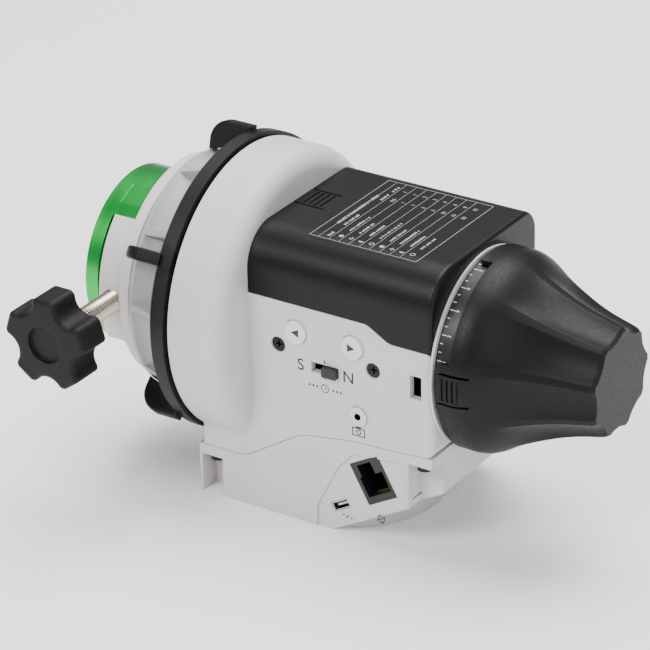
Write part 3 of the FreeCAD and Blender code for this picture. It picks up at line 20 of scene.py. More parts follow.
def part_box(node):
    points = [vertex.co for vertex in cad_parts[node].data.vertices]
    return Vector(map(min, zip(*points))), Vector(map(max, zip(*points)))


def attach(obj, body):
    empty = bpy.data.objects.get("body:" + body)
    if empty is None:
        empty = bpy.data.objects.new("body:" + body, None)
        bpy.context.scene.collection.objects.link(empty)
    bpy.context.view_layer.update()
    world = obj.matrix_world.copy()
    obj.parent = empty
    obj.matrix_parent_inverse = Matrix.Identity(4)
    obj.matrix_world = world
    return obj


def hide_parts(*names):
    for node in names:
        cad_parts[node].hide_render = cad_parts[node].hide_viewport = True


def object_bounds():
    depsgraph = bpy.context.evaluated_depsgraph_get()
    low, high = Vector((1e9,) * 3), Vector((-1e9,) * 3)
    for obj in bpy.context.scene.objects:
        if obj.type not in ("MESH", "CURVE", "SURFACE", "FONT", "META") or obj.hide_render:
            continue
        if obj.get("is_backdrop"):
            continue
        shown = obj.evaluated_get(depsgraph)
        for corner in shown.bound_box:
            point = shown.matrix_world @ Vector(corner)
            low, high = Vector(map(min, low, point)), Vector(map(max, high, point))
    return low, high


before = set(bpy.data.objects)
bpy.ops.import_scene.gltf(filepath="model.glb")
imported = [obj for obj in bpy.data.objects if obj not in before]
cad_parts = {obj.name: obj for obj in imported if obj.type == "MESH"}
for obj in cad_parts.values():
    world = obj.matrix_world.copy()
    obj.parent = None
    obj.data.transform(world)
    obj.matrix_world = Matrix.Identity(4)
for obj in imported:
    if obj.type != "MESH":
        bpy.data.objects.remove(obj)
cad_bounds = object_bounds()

log = logging.getLogger("star_tracker")
MM = 0.001
INK_LIFT = 0.03
PANEL_SLANT = 29.0
MODE_SYMBOLS = 8
MONTHS = 12


# ---------------------------------------------------------------- places
def _centre(node: str) -> Vector:
    """Middle of a node's box."""
    low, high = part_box(node)
    return (Vector(low) + Vector(high)) / 2


DRUM_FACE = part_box("main_housing")[0][0]
AXIS = _centre("shaft_nut")


def place(station: float, y: float, level: float) -> Vector:
    """Turn a station, y and level in millimetres into a point of the frame.

    Args:
        station: distance behind the drum's front face.
        y: distance towards the back of the head.
        level: height above the polar axis.

    Returns:
        The point in metres.
    """
    return Vector((DRUM_FACE + station * MM, y * MM, AXIS.z + level * MM))


def round_axis(station: float, radius: float, degrees: float) -> Vector:
    """Point about the polar axis; 0 degrees looks along +Y and 90 up."""
    angle = math.radians(degrees)
    return place(station, radius * math.cos(angle), radius * math.sin(angle))


# ---------------------------------------------------------------- colour and nodes
def linear(code: str, alpha: float = 1.0) -> tuple[float, float, float, float]:
    """Convert an sRGB hex code to a linear colour.

    Args:
        code: six hex digits, with or without a leading hash.
        alpha: opacity that goes with the colour.

    Returns:
        Linear red, green, blue and alpha.
    """
    code = code.lstrip("#")
    parts = [int(code[i:i + 2], 16) / 255 for i in (0, 2, 4)]
    parts = [c / 12.92 if c <= 0.04045 else ((c + 0.055) / 1.055) ** 2.4 for c in parts]
    return (parts[0], parts[1], parts[2], alpha)


def add_node(tree: bpy.types.NodeTree, kind: str, values: dict | None = None,
             links: dict | None = None, **settings: object) -> bpy.types.Node:
    """Add a shader node with its settings, constants and incoming links.

    Args:
        tree: node tree that takes the node.
        kind: Blender's name for the node type.
        values: constants by socket name or number.
        links: output sockets by input socket name or number.
        settings: properties of the node itself.

    Returns:
        The new node.
    """
    node = tree.nodes.new(kind)
    for name, value in settings.items():
        setattr(node, name, value)
    for name, value in (values or {}).items():
        node.inputs[name].default_value = value
    for name, source in (links or {}).items():
        tree.links.new(source, node.inputs[name])
    return node


class Direction(Enum):
    """Direction in which a finish's fine marks run, as its stretch along X, Y and Z."""

    ALL = (1.0, 1.0, 1.0)
    ROUND_X = (1.0, 0.02, 0.02)
    ALONG_X = (0.03, 1.0, 1.0)
    ALONG_Y = (1.0, 0.03, 1.0)


@dataclass(frozen=True)
class Finish:
    """A real material and the surface that its making left.

    Attributes:
        name: common name and how the surface was made.
        colour: main colour, as sRGB hex.
        tone: second colour that the first drifts towards, as sRGB hex.
        drift_mm: size of the patches of that drift.
        drift: share of the second colour in the strongest patch.
        roughness: middle roughness.
        roughness_span: how far the roughness wanders with the grain.
        grain_mm: spacing of the surface grain.
        grain_height_mm: height of the grain.
        direction: direction of the grain.
        metallic: 1 for bare metal.
        ior: index of refraction, or None to keep a metal's default.
        coat: weight of a clear coat.
        sheen_level: strength of the surface reflection, 0.5 for a closed smooth surface.
        edge_mm: width over which a handled edge is softened.
        wear: hex colour of worn edges, or None.
        transmission: 1 for clear glass.
    """

    name: str
    colour: str
    tone: str
    drift_mm: float = 18.0
    drift: float = 0.35
    roughness: float = 0.5
    roughness_span: float = 0.06
    grain_mm: float = 0.8
    grain_height_mm: float = 0.02
    direction: Direction = Direction.ALL
    metallic: float = 0.0
    ior: float | None = 1.5
    coat: float = 0.0
    sheen_level: float = 0.5
    edge_mm: float = 0.3
    wear: str | None = None
    transmission: float = 0.0

    def build(self) -> bpy.types.Material:
        """Make the finish's shader once and hand it back each time."""
        made = bpy.data.materials.get(self.name)
        if made:
            return made
        material = bpy.data.materials.new(self.name)
        material.use_nodes = True
        tree = material.node_tree
        tree.nodes.clear()
        where = add_node(tree, "ShaderNodeTexCoord").outputs["Object"]
        along = add_node(tree, "ShaderNodeMapping", values={"Scale": self.direction.value},
                         links={"Vector": where}).outputs[0]
        patches = add_node(tree, "ShaderNodeTexNoise", values={
            "Scale": 1 / (self.drift_mm * MM), "Detail": 3.0, "Roughness": 0.55},
            links={"Vector": where}).outputs[0]
        grain = add_node(tree, "ShaderNodeTexNoise", values={
            "Scale": 1 / (self.grain_mm * MM), "Detail": 2.0, "Roughness": 0.5},
            links={"Vector": along}).outputs[0]
        share = add_node(tree, "ShaderNodeMapRange", values={
            "From Min": 0.35, "From Max": 0.75, "To Min": 0.0, "To Max": self.drift},
            links={"Value": patches}).outputs[0]
        colour = add_node(tree, "ShaderNodeMix", values={
            6: linear(self.colour), 7: linear(self.tone)},
            links={0: share}, data_type="RGBA").outputs[2]
        if self.wear:
            colour = self._worn(tree, colour)
        rough = add_node(tree, "ShaderNodeMapRange", values={
            "From Min": 0.3, "From Max": 0.7, "To Min": self.roughness - self.roughness_span,
            "To Max": self.roughness + self.roughness_span}, links={"Value": grain}).outputs[0]
        edge = add_node(tree, "ShaderNodeBevel", values={"Radius": self.edge_mm * MM},
                        samples=4).outputs[0]
        bump = add_node(tree, "ShaderNodeBump", values={"Strength": 1.0,
                        "Distance": self.grain_height_mm * MM},
                        links={"Height": grain, "Normal": edge}).outputs[0]
        values = {"Metallic": self.metallic, "Coat Weight": self.coat,
                  "Transmission Weight": self.transmission,
                  "Specular IOR Level": self.sheen_level}
        if self.ior is not None:
            values["IOR"] = self.ior
        shader = add_node(tree, "ShaderNodeBsdfPrincipled", values=values, links={
            "Base Color": colour, "Roughness": rough, "Normal": bump})
        add_node(tree, "ShaderNodeOutputMaterial", links={"Surface": shader.outputs[0]})
        material.diffuse_color = linear(self.colour)
        return material

    def _worn(self, tree: bpy.types.NodeTree,
              colour: bpy.types.NodeSocket) -> bpy.types.NodeSocket:
        """Let the wear colour show along sharp edges.

        Args:
            tree: the finish's node tree.
            colour: socket that carries the colour so far.

        Returns:
            Socket that carries the colour with its wear.
        """
        point = add_node(tree, "ShaderNodeNewGeometry").outputs["Pointiness"]
        rubbed = add_node(tree, "ShaderNodeMapRange", values={"From Min": 0.53, "From Max": 0.6,
                          "To Min": 0.0, "To Max": 0.35}, links={"Value": point}).outputs[0]
        return add_node(tree, "ShaderNodeMix", values={7: linear(self.wear)},
                        links={0: rubbed, 6: colour}, data_type="RGBA").outputs[2]


# Warm white powder coat on die-cast alloy: a dry, very fine orange peel that scatters light,
# drawn at 0.7 mm because its own 0.2 mm would be lost.
POWDER_WHITE = Finish("die_cast_alloy_white_powder_coated", "#CFCBCA", "#C5C1C1", roughness=0.52,
                      grain_mm=0.7, grain_height_mm=0.03, coat=0.05, edge_mm=0.5, drift=0.5)
# Black polycarbonate blend from a spark-eroded mould: satin, with a soft leathery grain.
MOULDED_BLACK = Finish("abs_black_spark_eroded_mould", "#0B0B0C", "#111113", roughness=0.44,
                       grain_mm=0.9, grain_height_mm=0.03, edge_mm=0.5, sheen_level=0.2,
                       wear="#202022")
# Smoother black lid of the same plastic, slightly glossier than the grip.
LID_BLACK = Finish("abs_black_fine_matt_mould", "#0A0A0B", "#101012", roughness=0.4,
                   grain_mm=0.7, grain_height_mm=0.022, sheen_level=0.22, edge_mm=0.5)
# Satin black enamel on cast alloy: low gloss, edges rubbed slightly grey by the fingers.
ENAMEL_BLACK = Finish("cast_alloy_black_satin_enamel", "#0B0B0C", "#121214", roughness=0.45,
                      grain_mm=0.8, grain_height_mm=0.02, sheen_level=0.22, edge_mm=0.6,
                      wear="#29292B")
# Mid grey powder coat on the grip hub.
POWDER_GREY = Finish("die_cast_alloy_grey_powder_coated", "#A3A4A8", "#96979B", roughness=0.48,
                     grain_mm=0.7, grain_height_mm=0.02, edge_mm=0.6)
# Bright green anodising over turned aluminium: metal shows through the dye, with fine lathe lines.
ANODISED_GREEN = Finish("aluminium_green_anodised_turned", "#1FAF4B", "#17983F", roughness=0.34,
                        grain_mm=0.3, grain_height_mm=0.0015, direction=Direction.ROUND_X,
                        metallic=1.0, ior=None, edge_mm=0.3, coat=0.3)
# Black anodising on turned aluminium, used for the optics' tubes and rings.
ANODISED_BLACK = Finish("aluminium_black_anodised_turned", "#0C0C0D", "#121214", roughness=0.38,
                        grain_mm=0.4, grain_height_mm=0.006, direction=Direction.ROUND_X,
                        edge_mm=0.3)
# Stainless steel left from the lathe: warm grey, with lines round the axis.
TURNED_STEEL = Finish("stainless_steel_turned", "#B7B1A6", "#A49E93", roughness=0.3, grain_mm=0.3,
                      grain_height_mm=0.006, direction=Direction.ROUND_X, metallic=1.0, ior=None)
# Nickel-plated screw steel: brighter and warmer, slightly dulled in the roots of its thread.
PLATED_STEEL = Finish("steel_nickel_plated", "#C3B9A8", "#A0978A", roughness=0.28, grain_mm=0.5,
                      grain_height_mm=0.008, metallic=1.0, ior=None, edge_mm=0.1)
# Black oxide on steel screws: near black with a little metal glint.
OXIDE_STEEL = Finish("steel_black_oxide", "#1D1D1F", "#26262A", roughness=0.36, metallic=0.6,
                     ior=None, grain_mm=0.5, edge_mm=0.15)
# Free-cutting brass from the machine.
MACHINED_BRASS = Finish("brass_machined", "#C9A25A", "#B58E48", roughness=0.28, grain_mm=0.3,
                        grain_height_mm=0.006, metallic=1.0, ior=None, edge_mm=0.1)
# Milled aluminium with its cutter lines.
MILLED_ALUMINIUM = Finish("aluminium_milled", "#BFC0C3", "#B0B1B4", roughness=0.32, grain_mm=0.5,
                          grain_height_mm=0.008, direction=Direction.ALONG_X, metallic=1.0,
                          ior=None)
# Black phenolic pressed in a polished mould and tumbled: dark satin with a fine pebble.
PHENOLIC_BLACK = Finish("phenolic_black_pressed_tumbled", "#0D0D0F", "#161619", roughness=0.5,
                        grain_mm=0.9, grain_height_mm=0.045, sheen_level=0.2, edge_mm=0.9,
                        wear="#242427")
# Warm white acetal buttons, smooth from the mould.
ACETAL_WHITE = Finish("acetal_white_moulded", "#E4E1DC", "#D8D5CF", roughness=0.4, grain_mm=1.0,
                      grain_height_mm=0.006, edge_mm=0.5, drift_mm=6)
# Black nylon of switches and sockets.
NYLON_BLACK = Finish("nylon_black_moulded", "#0E0E10", "#161618", roughness=0.42, grain_mm=0.6,
                     grain_height_mm=0.01, edge_mm=0.2)
# Dark pad-printed ink: thin, flat and a little broken over the coat's grain.
PRINT_DARK = Finish("pad_print_ink_charcoal", "#2A2A2C", "#3A3A3C", roughness=0.6, grain_mm=0.5,
                    grain_height_mm=0.004, edge_mm=0.05, drift_mm=2.0)
# White screen-printed ink on the black lid.
PRINT_WHITE = Finish("screen_print_ink_white", "#D5D7D8", "#BDBFC1", roughness=0.55, grain_mm=0.5,
                     grain_height_mm=0.004, edge_mm=0.05, drift_mm=3.0)
# Thin grey print of the reference table, laid with a fine screen.
PRINT_GREY = Finish("screen_print_ink_grey", "#9A9C9E", "#808284", roughness=0.55, grain_mm=0.5,
                    grain_height_mm=0.004, edge_mm=0.05, drift_mm=3.0)
# Gold-flashed spring contacts.
GOLD_FLASH = Finish("phosphor_bronze_gold_flashed", "#D8B45E", "#C39C48", roughness=0.22,
                    grain_mm=0.4, grain_height_mm=0.004, metallic=1.0, ior=None, edge_mm=0.05)
# Bright nickel of the release socket and of the battery springs.
BRIGHT_NICKEL = Finish("brass_bright_nickel_plated", "#C9C9C6", "#B4B4B1", roughness=0.18,
                       grain_mm=0.5, grain_height_mm=0.003, metallic=1.0, ior=None, edge_mm=0.2)
# Crown glass with an antireflection tint.
LENS_GLASS = Finish("crown_glass_coated", "#DDE6F2", "#D2DCEE", roughness=0.04,
                    roughness_span=0.01, grain_mm=3.0, grain_height_mm=0.0005, ior=1.52,
                    transmission=1.0, coat=0.4, edge_mm=0.1, drift=0.2)
# Soft black rubber of the eye cup and the adapter's pad.
MATT_RUBBER = Finish("nitrile_rubber_black_moulded", "#121212", "#1C1C1C", roughness=0.75,
                     grain_mm=0.7, grain_height_mm=0.03, edge_mm=0.3)
# Green solder mask over glass-fibre laminate.
SOLDER_MASK = Finish("fr4_laminate_green_solder_mask", "#1D5B37", "#174A2D", roughness=0.3,
                     grain_mm=1.2, grain_height_mm=0.01, coat=0.4)
# Printed shrink sleeve of the cells.
CELL_SLEEVE = Finish("pvc_shrink_sleeve_blue", "#2F4E79", "#284369", roughness=0.32, coat=0.3,
                     grain_mm=2.0, grain_height_mm=0.01)
# Zinc-plated steel can of the motor.
ZINC_CAN = Finish("steel_zinc_plated_drawn", "#A4A6A8", "#8F9193", roughness=0.36, grain_mm=0.6,
                  grain_height_mm=0.008, direction=Direction.ALONG_Y, metallic=1.0, ior=None)
# Plain light studio floor: matt board with the faintest tooth.
STUDIO_BOARD = Finish("painted_board_pale_matt", "#FBFBFA", "#F7F7F6", roughness=0.9, grain_mm=3.0,
                      grain_height_mm=0.01, drift_mm=400, edge_mm=0.1)


def dress(finish: Finish, *nodes: str) -> None:
    """Give carried-over nodes their finish.

    Args:
        finish: what the nodes are made of.
        nodes: names of the nodes.
    """
    material = finish.build()
    for name in nodes:
        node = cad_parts[name]
        if not node.material_slots:
            node.data.materials.append(material)
        for slot in node.material_slots:
            slot.material = material
        log.info("dressed %s in %s", name, finish.name)


# ---------------------------------------------------------------- meshes
def new_piece(name: str, mesh: bmesh.types.BMesh, body: str, finish: Finish,
              replaces: Sequence[str] = (), smooth: bool = False) -> bpy.types.Object:
    """Turn a mesh into a piece that rides on a body.

    Args:
        name: name of the piece.
        mesh: its faces, in the frame's metres; it is freed here.
        body: body it moves with.
        finish: what it is made of.
        replaces: nodes that it stands for.
        smooth: whether its faces are shaded smooth.

    Returns:
        The new object.
    """
    data = bpy.data.meshes.new(name)
    mesh.to_mesh(data)
    mesh.free()
    if smooth:
        data.shade_smooth()
    piece = bpy.data.objects.new(name, data)
    bpy.context.scene.collection.objects.link(piece)
    data.materials.append(finish.build())
    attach(piece, body)
    if replaces:
        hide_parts(*replaces)
    log.info("built %s", name)
    return piece


@dataclass
class Print:
    """Flat artwork gathered in a plane's own millimetres and then laid on a surface."""

    mesh: bmesh.types.BMesh = field(default_factory=bmesh.new)

    def polygon(self, corners: Iterable[tuple[float, float]]) -> None:
        """Add one filled outline of (u, v) corners."""
        self.mesh.faces.new([self.mesh.verts.new((u, v, 0.0)) for u, v in corners])

    def bar(self, u: float, v: float, width: float, height: float) -> None:
        """Add a filled bar from its lower left corner, cut up so that it can bend."""
        pieces = max(1, int(max(width, height) / 1.5))
        for i in range(pieces):
            a, b = i / pieces, (i + 1) / pieces
            if width >= height:
                box = (u + width * a, v, u + width * b, v + height)
            else:
                box = (u, v + height * a, u + width, v + height * b)
            self.polygon([(box[0], box[1]), (box[2], box[1]), (box[2], box[3]), (box[0], box[3])])

    def outline(self, u: float, v: float, width: float, height: float, line: float) -> None:
        """Add a hollow rectangle drawn with a line of the given width."""
        self.bar(u, v, width, line)
        self.bar(u, v + height - line, width, line)
        self.bar(u, v + line, line, height - 2 * line)
        self.bar(u + width - line, v + line, line, height - 2 * line)

    def arc(self, u: float, v: float, outer: float, inner: float, start: float = 0.0,
            sweep: float = 360.0) -> None:
        """Add part of a flat ring, angles in degrees."""
        steps = max(8, int(sweep / 12))
        for i in range(steps):
            a = math.radians(start + sweep * i / steps)
            b = math.radians(start + sweep * (i + 1) / steps)
            self.polygon([(u + outer * math.cos(a), v + outer * math.sin(a)),
                          (u + outer * math.cos(b), v + outer * math.sin(b)),
                          (u + inner * math.cos(b), v + inner * math.sin(b)),
                          (u + inner * math.cos(a), v + inner * math.sin(a))])

    def words(self, u: float, v: float, length: float, height: float, draw: random.Random) -> None:
        """Add short dashes that stand for a line of small print, without lettering."""
        at = 0.0
        while at < length - 0.6:
            dash = min(draw.uniform(0.5, 1.1), length - at)
            self.bar(u + at, v, dash, height * draw.uniform(0.75, 1.0))
            at += dash + (0.28 if draw.random() < 0.75 else 0.8)

    def text(self, words: str, u: float, v: float, height: float) -> None:
        """Add centred characters of the given height."""
        curve = bpy.data.curves.new("characters", "FONT")
        curve.body = words
        curve.size = height / 0.7
        curve.align_x = "CENTER"
        curve.align_y = "CENTER"
        curve.offset = 0.012 * height
        holder = bpy.data.objects.new("characters", curve)
        flat = bpy.data.meshes.new_from_object(holder)
        start = len(self.mesh.verts)
        self.mesh.from_mesh(flat)
        self.mesh.verts.ensure_lookup_table()
        for vert in self.mesh.verts[start:]:
            vert.co.x += u
            vert.co.y += v
        bpy.data.objects.remove(holder)
        bpy.data.curves.remove(curve)
        bpy.data.meshes.remove(flat)

    def lay(self, surface: Callable[[float, float], Vector]) -> bmesh.types.BMesh:
        """Move every corner onto a surface.

        Args:
            surface: gives the point in metres for each (u, v).

        Returns:
            The laid mesh.
        """
        for vert in self.mesh.verts:
            vert.co = surface(vert.co.x, vert.co.y)
        self.mesh.normal_update()
        return self.mesh


def thread(radius: float, pitch: float, length: float, depth: float,
           where: Callable[[float, float, float], Vector]) -> bmesh.types.BMesh:
    """Closed rod with a right-handed thread cut in its surface.

    Args:
        radius: radius over the crests, in millimetres.
        pitch: advance of the thread in one turn.
        length: length of the rod.
        depth: depth of the thread.
        where: gives the point in metres for a distance along and two offsets across.

    Returns:
        The rod's mesh.
    """
    around, per_pitch = 40, 8
    rows = int(length / pitch * per_pitch)
    mesh = bmesh.new()
    rings = []
    for row in range(rows + 1):
        along = length * row / rows
        fade = min(1.0, along / pitch, (length - along) / pitch)
        ring = []
        for i in range(around):
            turn = i / around
            phase = (along / pitch - turn) % 1.0
            flank = min(1.0, max(0.0, abs(2 * phase - 1) * 1.35 - 0.15))
            r = radius - depth * (flank if fade >= 1.0 else 1.0 - (1.0 - flank) * fade)
            angle = 2 * math.pi * turn
            ring.append(mesh.verts.new(where(along, r * math.cos(angle), r * math.sin(angle))))
        rings.append(ring)
    for low, high in zip(rings, rings[1:]):
        for i in range(around):
            j = (i + 1) % around
            mesh.faces.new([low[i], low[j], high[j], high[i]])
    mesh.faces.new(rings[0][::-1])
    mesh.faces.new(rings[-1])
    bmesh.ops.recalc_face_normals(mesh, faces=mesh.faces[:])
    return mesh


# ---------------------------------------------------------------- sub-assemblies
@dataclass
class Housing:
    """Two-part cast housing with its screws and its printed control panel."""

    panel_y: float = -32.5
    port_y: float = -31.8
    letter_mm: float = 4.2
    slot_start: float = 44.9
    slot_end: float = 55.7
    slot_level: float = -6.45
    tick_width: float = 0.5
    tick_height: float = 1.3
    clock_drop: float = 6.9
    shutter_at: tuple[float, float] = (63.3, -26.3)
    port_origin: tuple[float, float] = (57.6, -60.6)
    crosshair_at: tuple[float, float] = (13.5, -3.9)

    def build(self) -> None:
        """Dress the castings and lay the panel's print."""
        dress(POWDER_WHITE, "main_housing", "base_housing", "camera_socket")
        dress(OXIDE_STEEL, "face_screws", "base_screws", "socket_screws")
        dress(TURNED_STEEL, "tripod_insert")
        self._print_panel()
        self._print_ports()

    def _on_panel(self, u: float, v: float) -> Vector:
        """Point of the control panel, u along X and v up."""
        return place(u, self.panel_y - INK_LIFT, v)

    def _print_panel(self) -> None:
        """Lay the hemisphere letters, the slider's ticks and the pictograms."""
        art = Print()
        art.text("S", self.slot_start - 4.2, self.slot_level - 0.5, self.letter_mm)
        art.text("N", self.slot_end + 3.9, self.slot_level - 0.5, self.letter_mm)
        middle = (self.slot_start + self.slot_end) / 2
        for rise in (2.3, -3.6):
            art.bar(middle - self.tick_width / 2, self.slot_level + rise, self.tick_width,
                    self.tick_height)
        self._clock(art, middle, self.slot_level - self.clock_drop)
        self._shutter(art, *self.shutter_at)
        new_piece("panel_print", art.lay(self._on_panel), "housing", PRINT_DARK)

    @staticmethod
    def _clock(art: Print, u: float, v: float) -> None:
        """Add a small clock between two rows of dots, for timed exposures."""
        art.arc(u, v, 1.6, 1.25)
        art.bar(u - 0.15, v - 0.1, 0.3, 1.1)
        art.bar(u - 0.15, v - 0.15, 1.0, 0.3)
        for side in (-1, 1):
            for i in range(3):
                art.arc(u + side * (3.2 + 1.5 * i), v, 0.42, 0.02)

    @staticmethod
    def _shutter(art: Print, u: float, v: float) -> None:
        """Add a camera pictogram under the release socket."""
        art.outline(u - 2.6, v - 1.6, 5.2, 3.2, 0.4)
        art.bar(u - 1.0, v + 1.6, 2.0, 0.6)
        art.arc(u, v, 1.0, 0.6)

    def _print_ports(self) -> None:
        """Lay the pictograms below the two sockets on the slanted port panel."""
        art = Print()
        for i, (du, dv) in enumerate(((-1.2, 1.0), (0.3, 0.1), (-0.3, -0.1), (1.2, -1.0))):
            art.bar(du - 0.2, dv - 0.2 - 0.02 * i, 1.0, 0.4)
        across, up = self.crosshair_at
        line, reach = 0.3, 2.0
        art.arc(across, up, 1.5, 1.15)
        art.bar(across - reach, up - line / 2, 2 * reach, line)
        art.bar(across - line / 2, up - reach, line, 2 * reach)
        slant = math.radians(PANEL_SLANT)

        def surface(u: float, v: float) -> Vector:
            """Point of the port panel, in the sockets' slanted directions."""
            x = self.port_origin[0] + u * math.cos(slant) - v * math.sin(slant)
            level = self.port_origin[1] + u * math.sin(slant) + v * math.cos(slant)
            return place(x, self.port_y - INK_LIFT, level)

        new_piece("port_print", art.lay(surface), "housing", PRINT_DARK)


@dataclass
class ControlPanel:
    """Buttons, slider, sockets and dial."""

    arrow_mm: float = 3.0
    left: float = 39.1
    right: float = 61.3
    level: float = 4.9
    face_y: float = -33.4
    number_radius: float = 9.0
    number_mm: float = 2.4

    def build(self) -> None:
        """Dress the controls and print the buttons and the dial."""
        dress(ACETAL_WHITE, "button_left", "button_right")
        dress(NYLON_BLACK, "switch_slider", "slide_switch", "tact_switches", "mode_switch",
              "guider_jack", "mode_dial")
        dress(BRIGHT_NICKEL, "snap_jack", "power_socket")
        dress(GOLD_FLASH, "guider_contacts")
        dress(SOLDER_MASK, "circuit_board")
        for name, station, sign in (("left", self.left, -1), ("right", self.right, 1)):
            self._arrow(name, station, sign)
        self._print_dial()

    def _arrow(self, name: str, station: float, sign: int) -> None:
        """Print the direction arrow on one button.

        Args:
            name: which button, left or right.
            station: the button's middle.
            sign: -1 for an arrow towards -X, 1 towards +X.
        """
        art = Print()
        half = self.arrow_mm / 2
        tip = [(sign * half, 0.0), (-sign * half, half), (-sign * half, -half)]
        art.polygon(tip[::-sign])
        new_piece(name + "_arrow", art.lay(
            lambda u, v: place(station + u, self.face_y - INK_LIFT, self.level + v)),
            name + "_button", PRINT_DARK)

    def _print_dial(self) -> None:
        """Lay numbers and ticks on the mode dial's face, on the hidden side."""
        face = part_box("mode_dial")[1][1]
        middle = _centre("mode_dial")
        art = Print()
        for i in range(MODE_SYMBOLS):
            angle = math.radians(360 / MODE_SYMBOLS * i)
            art.text(str(i), self.number_radius * math.sin(angle),
                     self.number_radius * math.cos(angle), self.number_mm)
        art.bar(-0.3, 4.0, 0.6, 3.0)
        art.arc(0, 0, 4.2, 3.9)
        new_piece("mode_dial_print", art.lay(
            lambda u, v: Vector((middle.x - u * MM, face + INK_LIFT * MM, middle.z + v * MM))),
            "mode_knob", PRINT_WHITE)


@dataclass
class BatteryBay:
    """Lid with its printed table, tray, cells and springs."""

    near: float = -23.0
    far: float = 26.5
    first: float = 39.0
    last: float = 80.5
    rows: int = 8
    line_mm: float = 0.2

    def build(self) -> None:
        """Dress the bay and lay the reference table on the lid."""
        dress(LID_BLACK, "battery_cover")
        dress(NYLON_BLACK, "battery_tray")
        dress(CELL_SLEEVE, "battery_cells")
        dress(BRIGHT_NICKEL, "battery_contacts")
        art = Print()
        self._draw_table(art)
        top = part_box("battery_cover")[1][2]

        def surface(u: float, v: float) -> Vector:
            """Point of the lid: u runs back along Y and v towards the drum."""
            spot = place(-v, u, 0)
            return Vector((spot.x, spot.y, top + INK_LIFT * MM))

        new_piece("reference_table", art.lay(surface), "cover", PRINT_GREY)

    def _draw_table(self, art: Print) -> None:
        """Draw frame, header and rows: symbols, dashes for names, and numbers."""
        draw = random.Random(7)
        width, height = self.far - self.near, self.last - self.first
        art.outline(self.near, -self.last, width, height, self.line_mm)
        step = (height - 6.0) / (self.rows + 1)
        art.words(self.near + 12, -self.first - 4.0, width - 24, 1.3, draw)
        numbers = (("0.5", "1"), ("1", "1"), ("1", "2"), ("2", "2"), ("5", "4"), ("10", "6"),
                   ("15", "8"), ("20", "12"))
        for row in range(self.rows + 1):
            v = -self.first - 6.6 - step * row
            art.bar(self.near, v + step * 0.78, width, 0.14)
            if row == 0:
                art.words(self.near + 2.2, v, 4.5, 1.1, draw)
                art.words(self.near + 12, v, 10, 1.1, draw)
                art.words(self.far - 15, v, 5, 1.1, draw)
                art.words(self.far - 7.5, v, 5, 1.1, draw)
                continue
            self._symbol(art, self.near + 4.2, v + 0.6, row)
            art.words(self.near + 9, v, draw.uniform(9, 15), 0.9, draw)
            art.text(numbers[row - 1][0], self.far - 13, v + 0.6, 1.4)
            art.text(numbers[row - 1][1], self.far - 5.5, v + 0.6, 1.4)

    @staticmethod
    def _symbol(art: Print, u: float, v: float, row: int) -> None:
        """Add one of four plain signs: ring, dot, cross or half disc."""
        if row % 4 == 0:
            art.arc(u, v, 1.0, 0.65)
        elif row % 4 == 1:
            art.arc(u, v, 0.9, 0.02)
        elif row % 4 == 2:
            art.bar(u - 1.0, v - 0.18, 2.0, 0.36)
            art.bar(u - 0.18, v - 1.0, 0.36, 2.0)
        else:
            art.arc(u, v, 1.0, 0.02, 90, 180)


@dataclass
class CameraSocket:
    """Green adapter, its stud, and the knob that locks it."""

    screw_radius: float = 4.0
    screw_pitch: float = 1.25
    stud_radius: float = 4.76
    stud_pitch: float = 1.5875

    def build(self) -> None:
        """Dress the socket end and cut its visible threads."""
        dress(ANODISED_GREEN, "adapter")
        dress(MATT_RUBBER, "adapter_pad")
        dress(PHENOLIC_BLACK, "lock_knob")
        dress(MACHINED_BRASS, "lock_pad")
        self._lock_screw()
        self._stud()

    def _lock_screw(self) -> None:
        """Cut the thread of the locking screw along -Y."""
        low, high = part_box("lock_screw")
        middle = _centre("lock_screw")
        length = (high[1] - low[1]) / MM

        def where(along: float, across: float, up: float) -> Vector:
            """Point of the screw, from its tip towards the knob."""
            return Vector((middle.x + across * MM, high[1] - along * MM, middle.z + up * MM))

        mesh = thread(self.screw_radius, self.screw_pitch, length, 0.6, where)
        new_piece("locking_screw", mesh, "locking_knob", PLATED_STEEL, ("lock_screw",))

    def _stud(self) -> None:
        """Cut the thread of the camera stud along -X."""
        low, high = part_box("adapter_stud")
        length = (high[0] - low[0]) / MM

        def where(along: float, across: float, up: float) -> Vector:
            """Point of the stud, from inside the adapter outwards."""
            return Vector((high[0] - along * MM, AXIS.y + across * MM, AXIS.z + up * MM))

        mesh = thread(self.stud_radius, self.stud_pitch, length, 0.75, where)
        new_piece("camera_stud", mesh, "camera_adapter", PLATED_STEEL, ("adapter_stud",))


@dataclass
class PolarAxis:
    """Shaft, bearings, clutch and the worm drive."""

    def build(self) -> None:
        """Dress the moving parts of the axis."""
        dress(ENAMEL_BLACK, "clutch_ring")
        dress(POWDER_GREY, "clutch_hub")
        dress(TURNED_STEEL, "polar_shaft", "shaft_nut", "front_bearing", "rear_bearing", "worm",
              "worm_bearings")
        dress(MACHINED_BRASS, "worm_wheel", "worm_gear", "motor_pinion")
        dress(MILLED_ALUMINIUM, "worm_bracket", "clutch_disc")
        dress(ZINC_CAN, "motor")


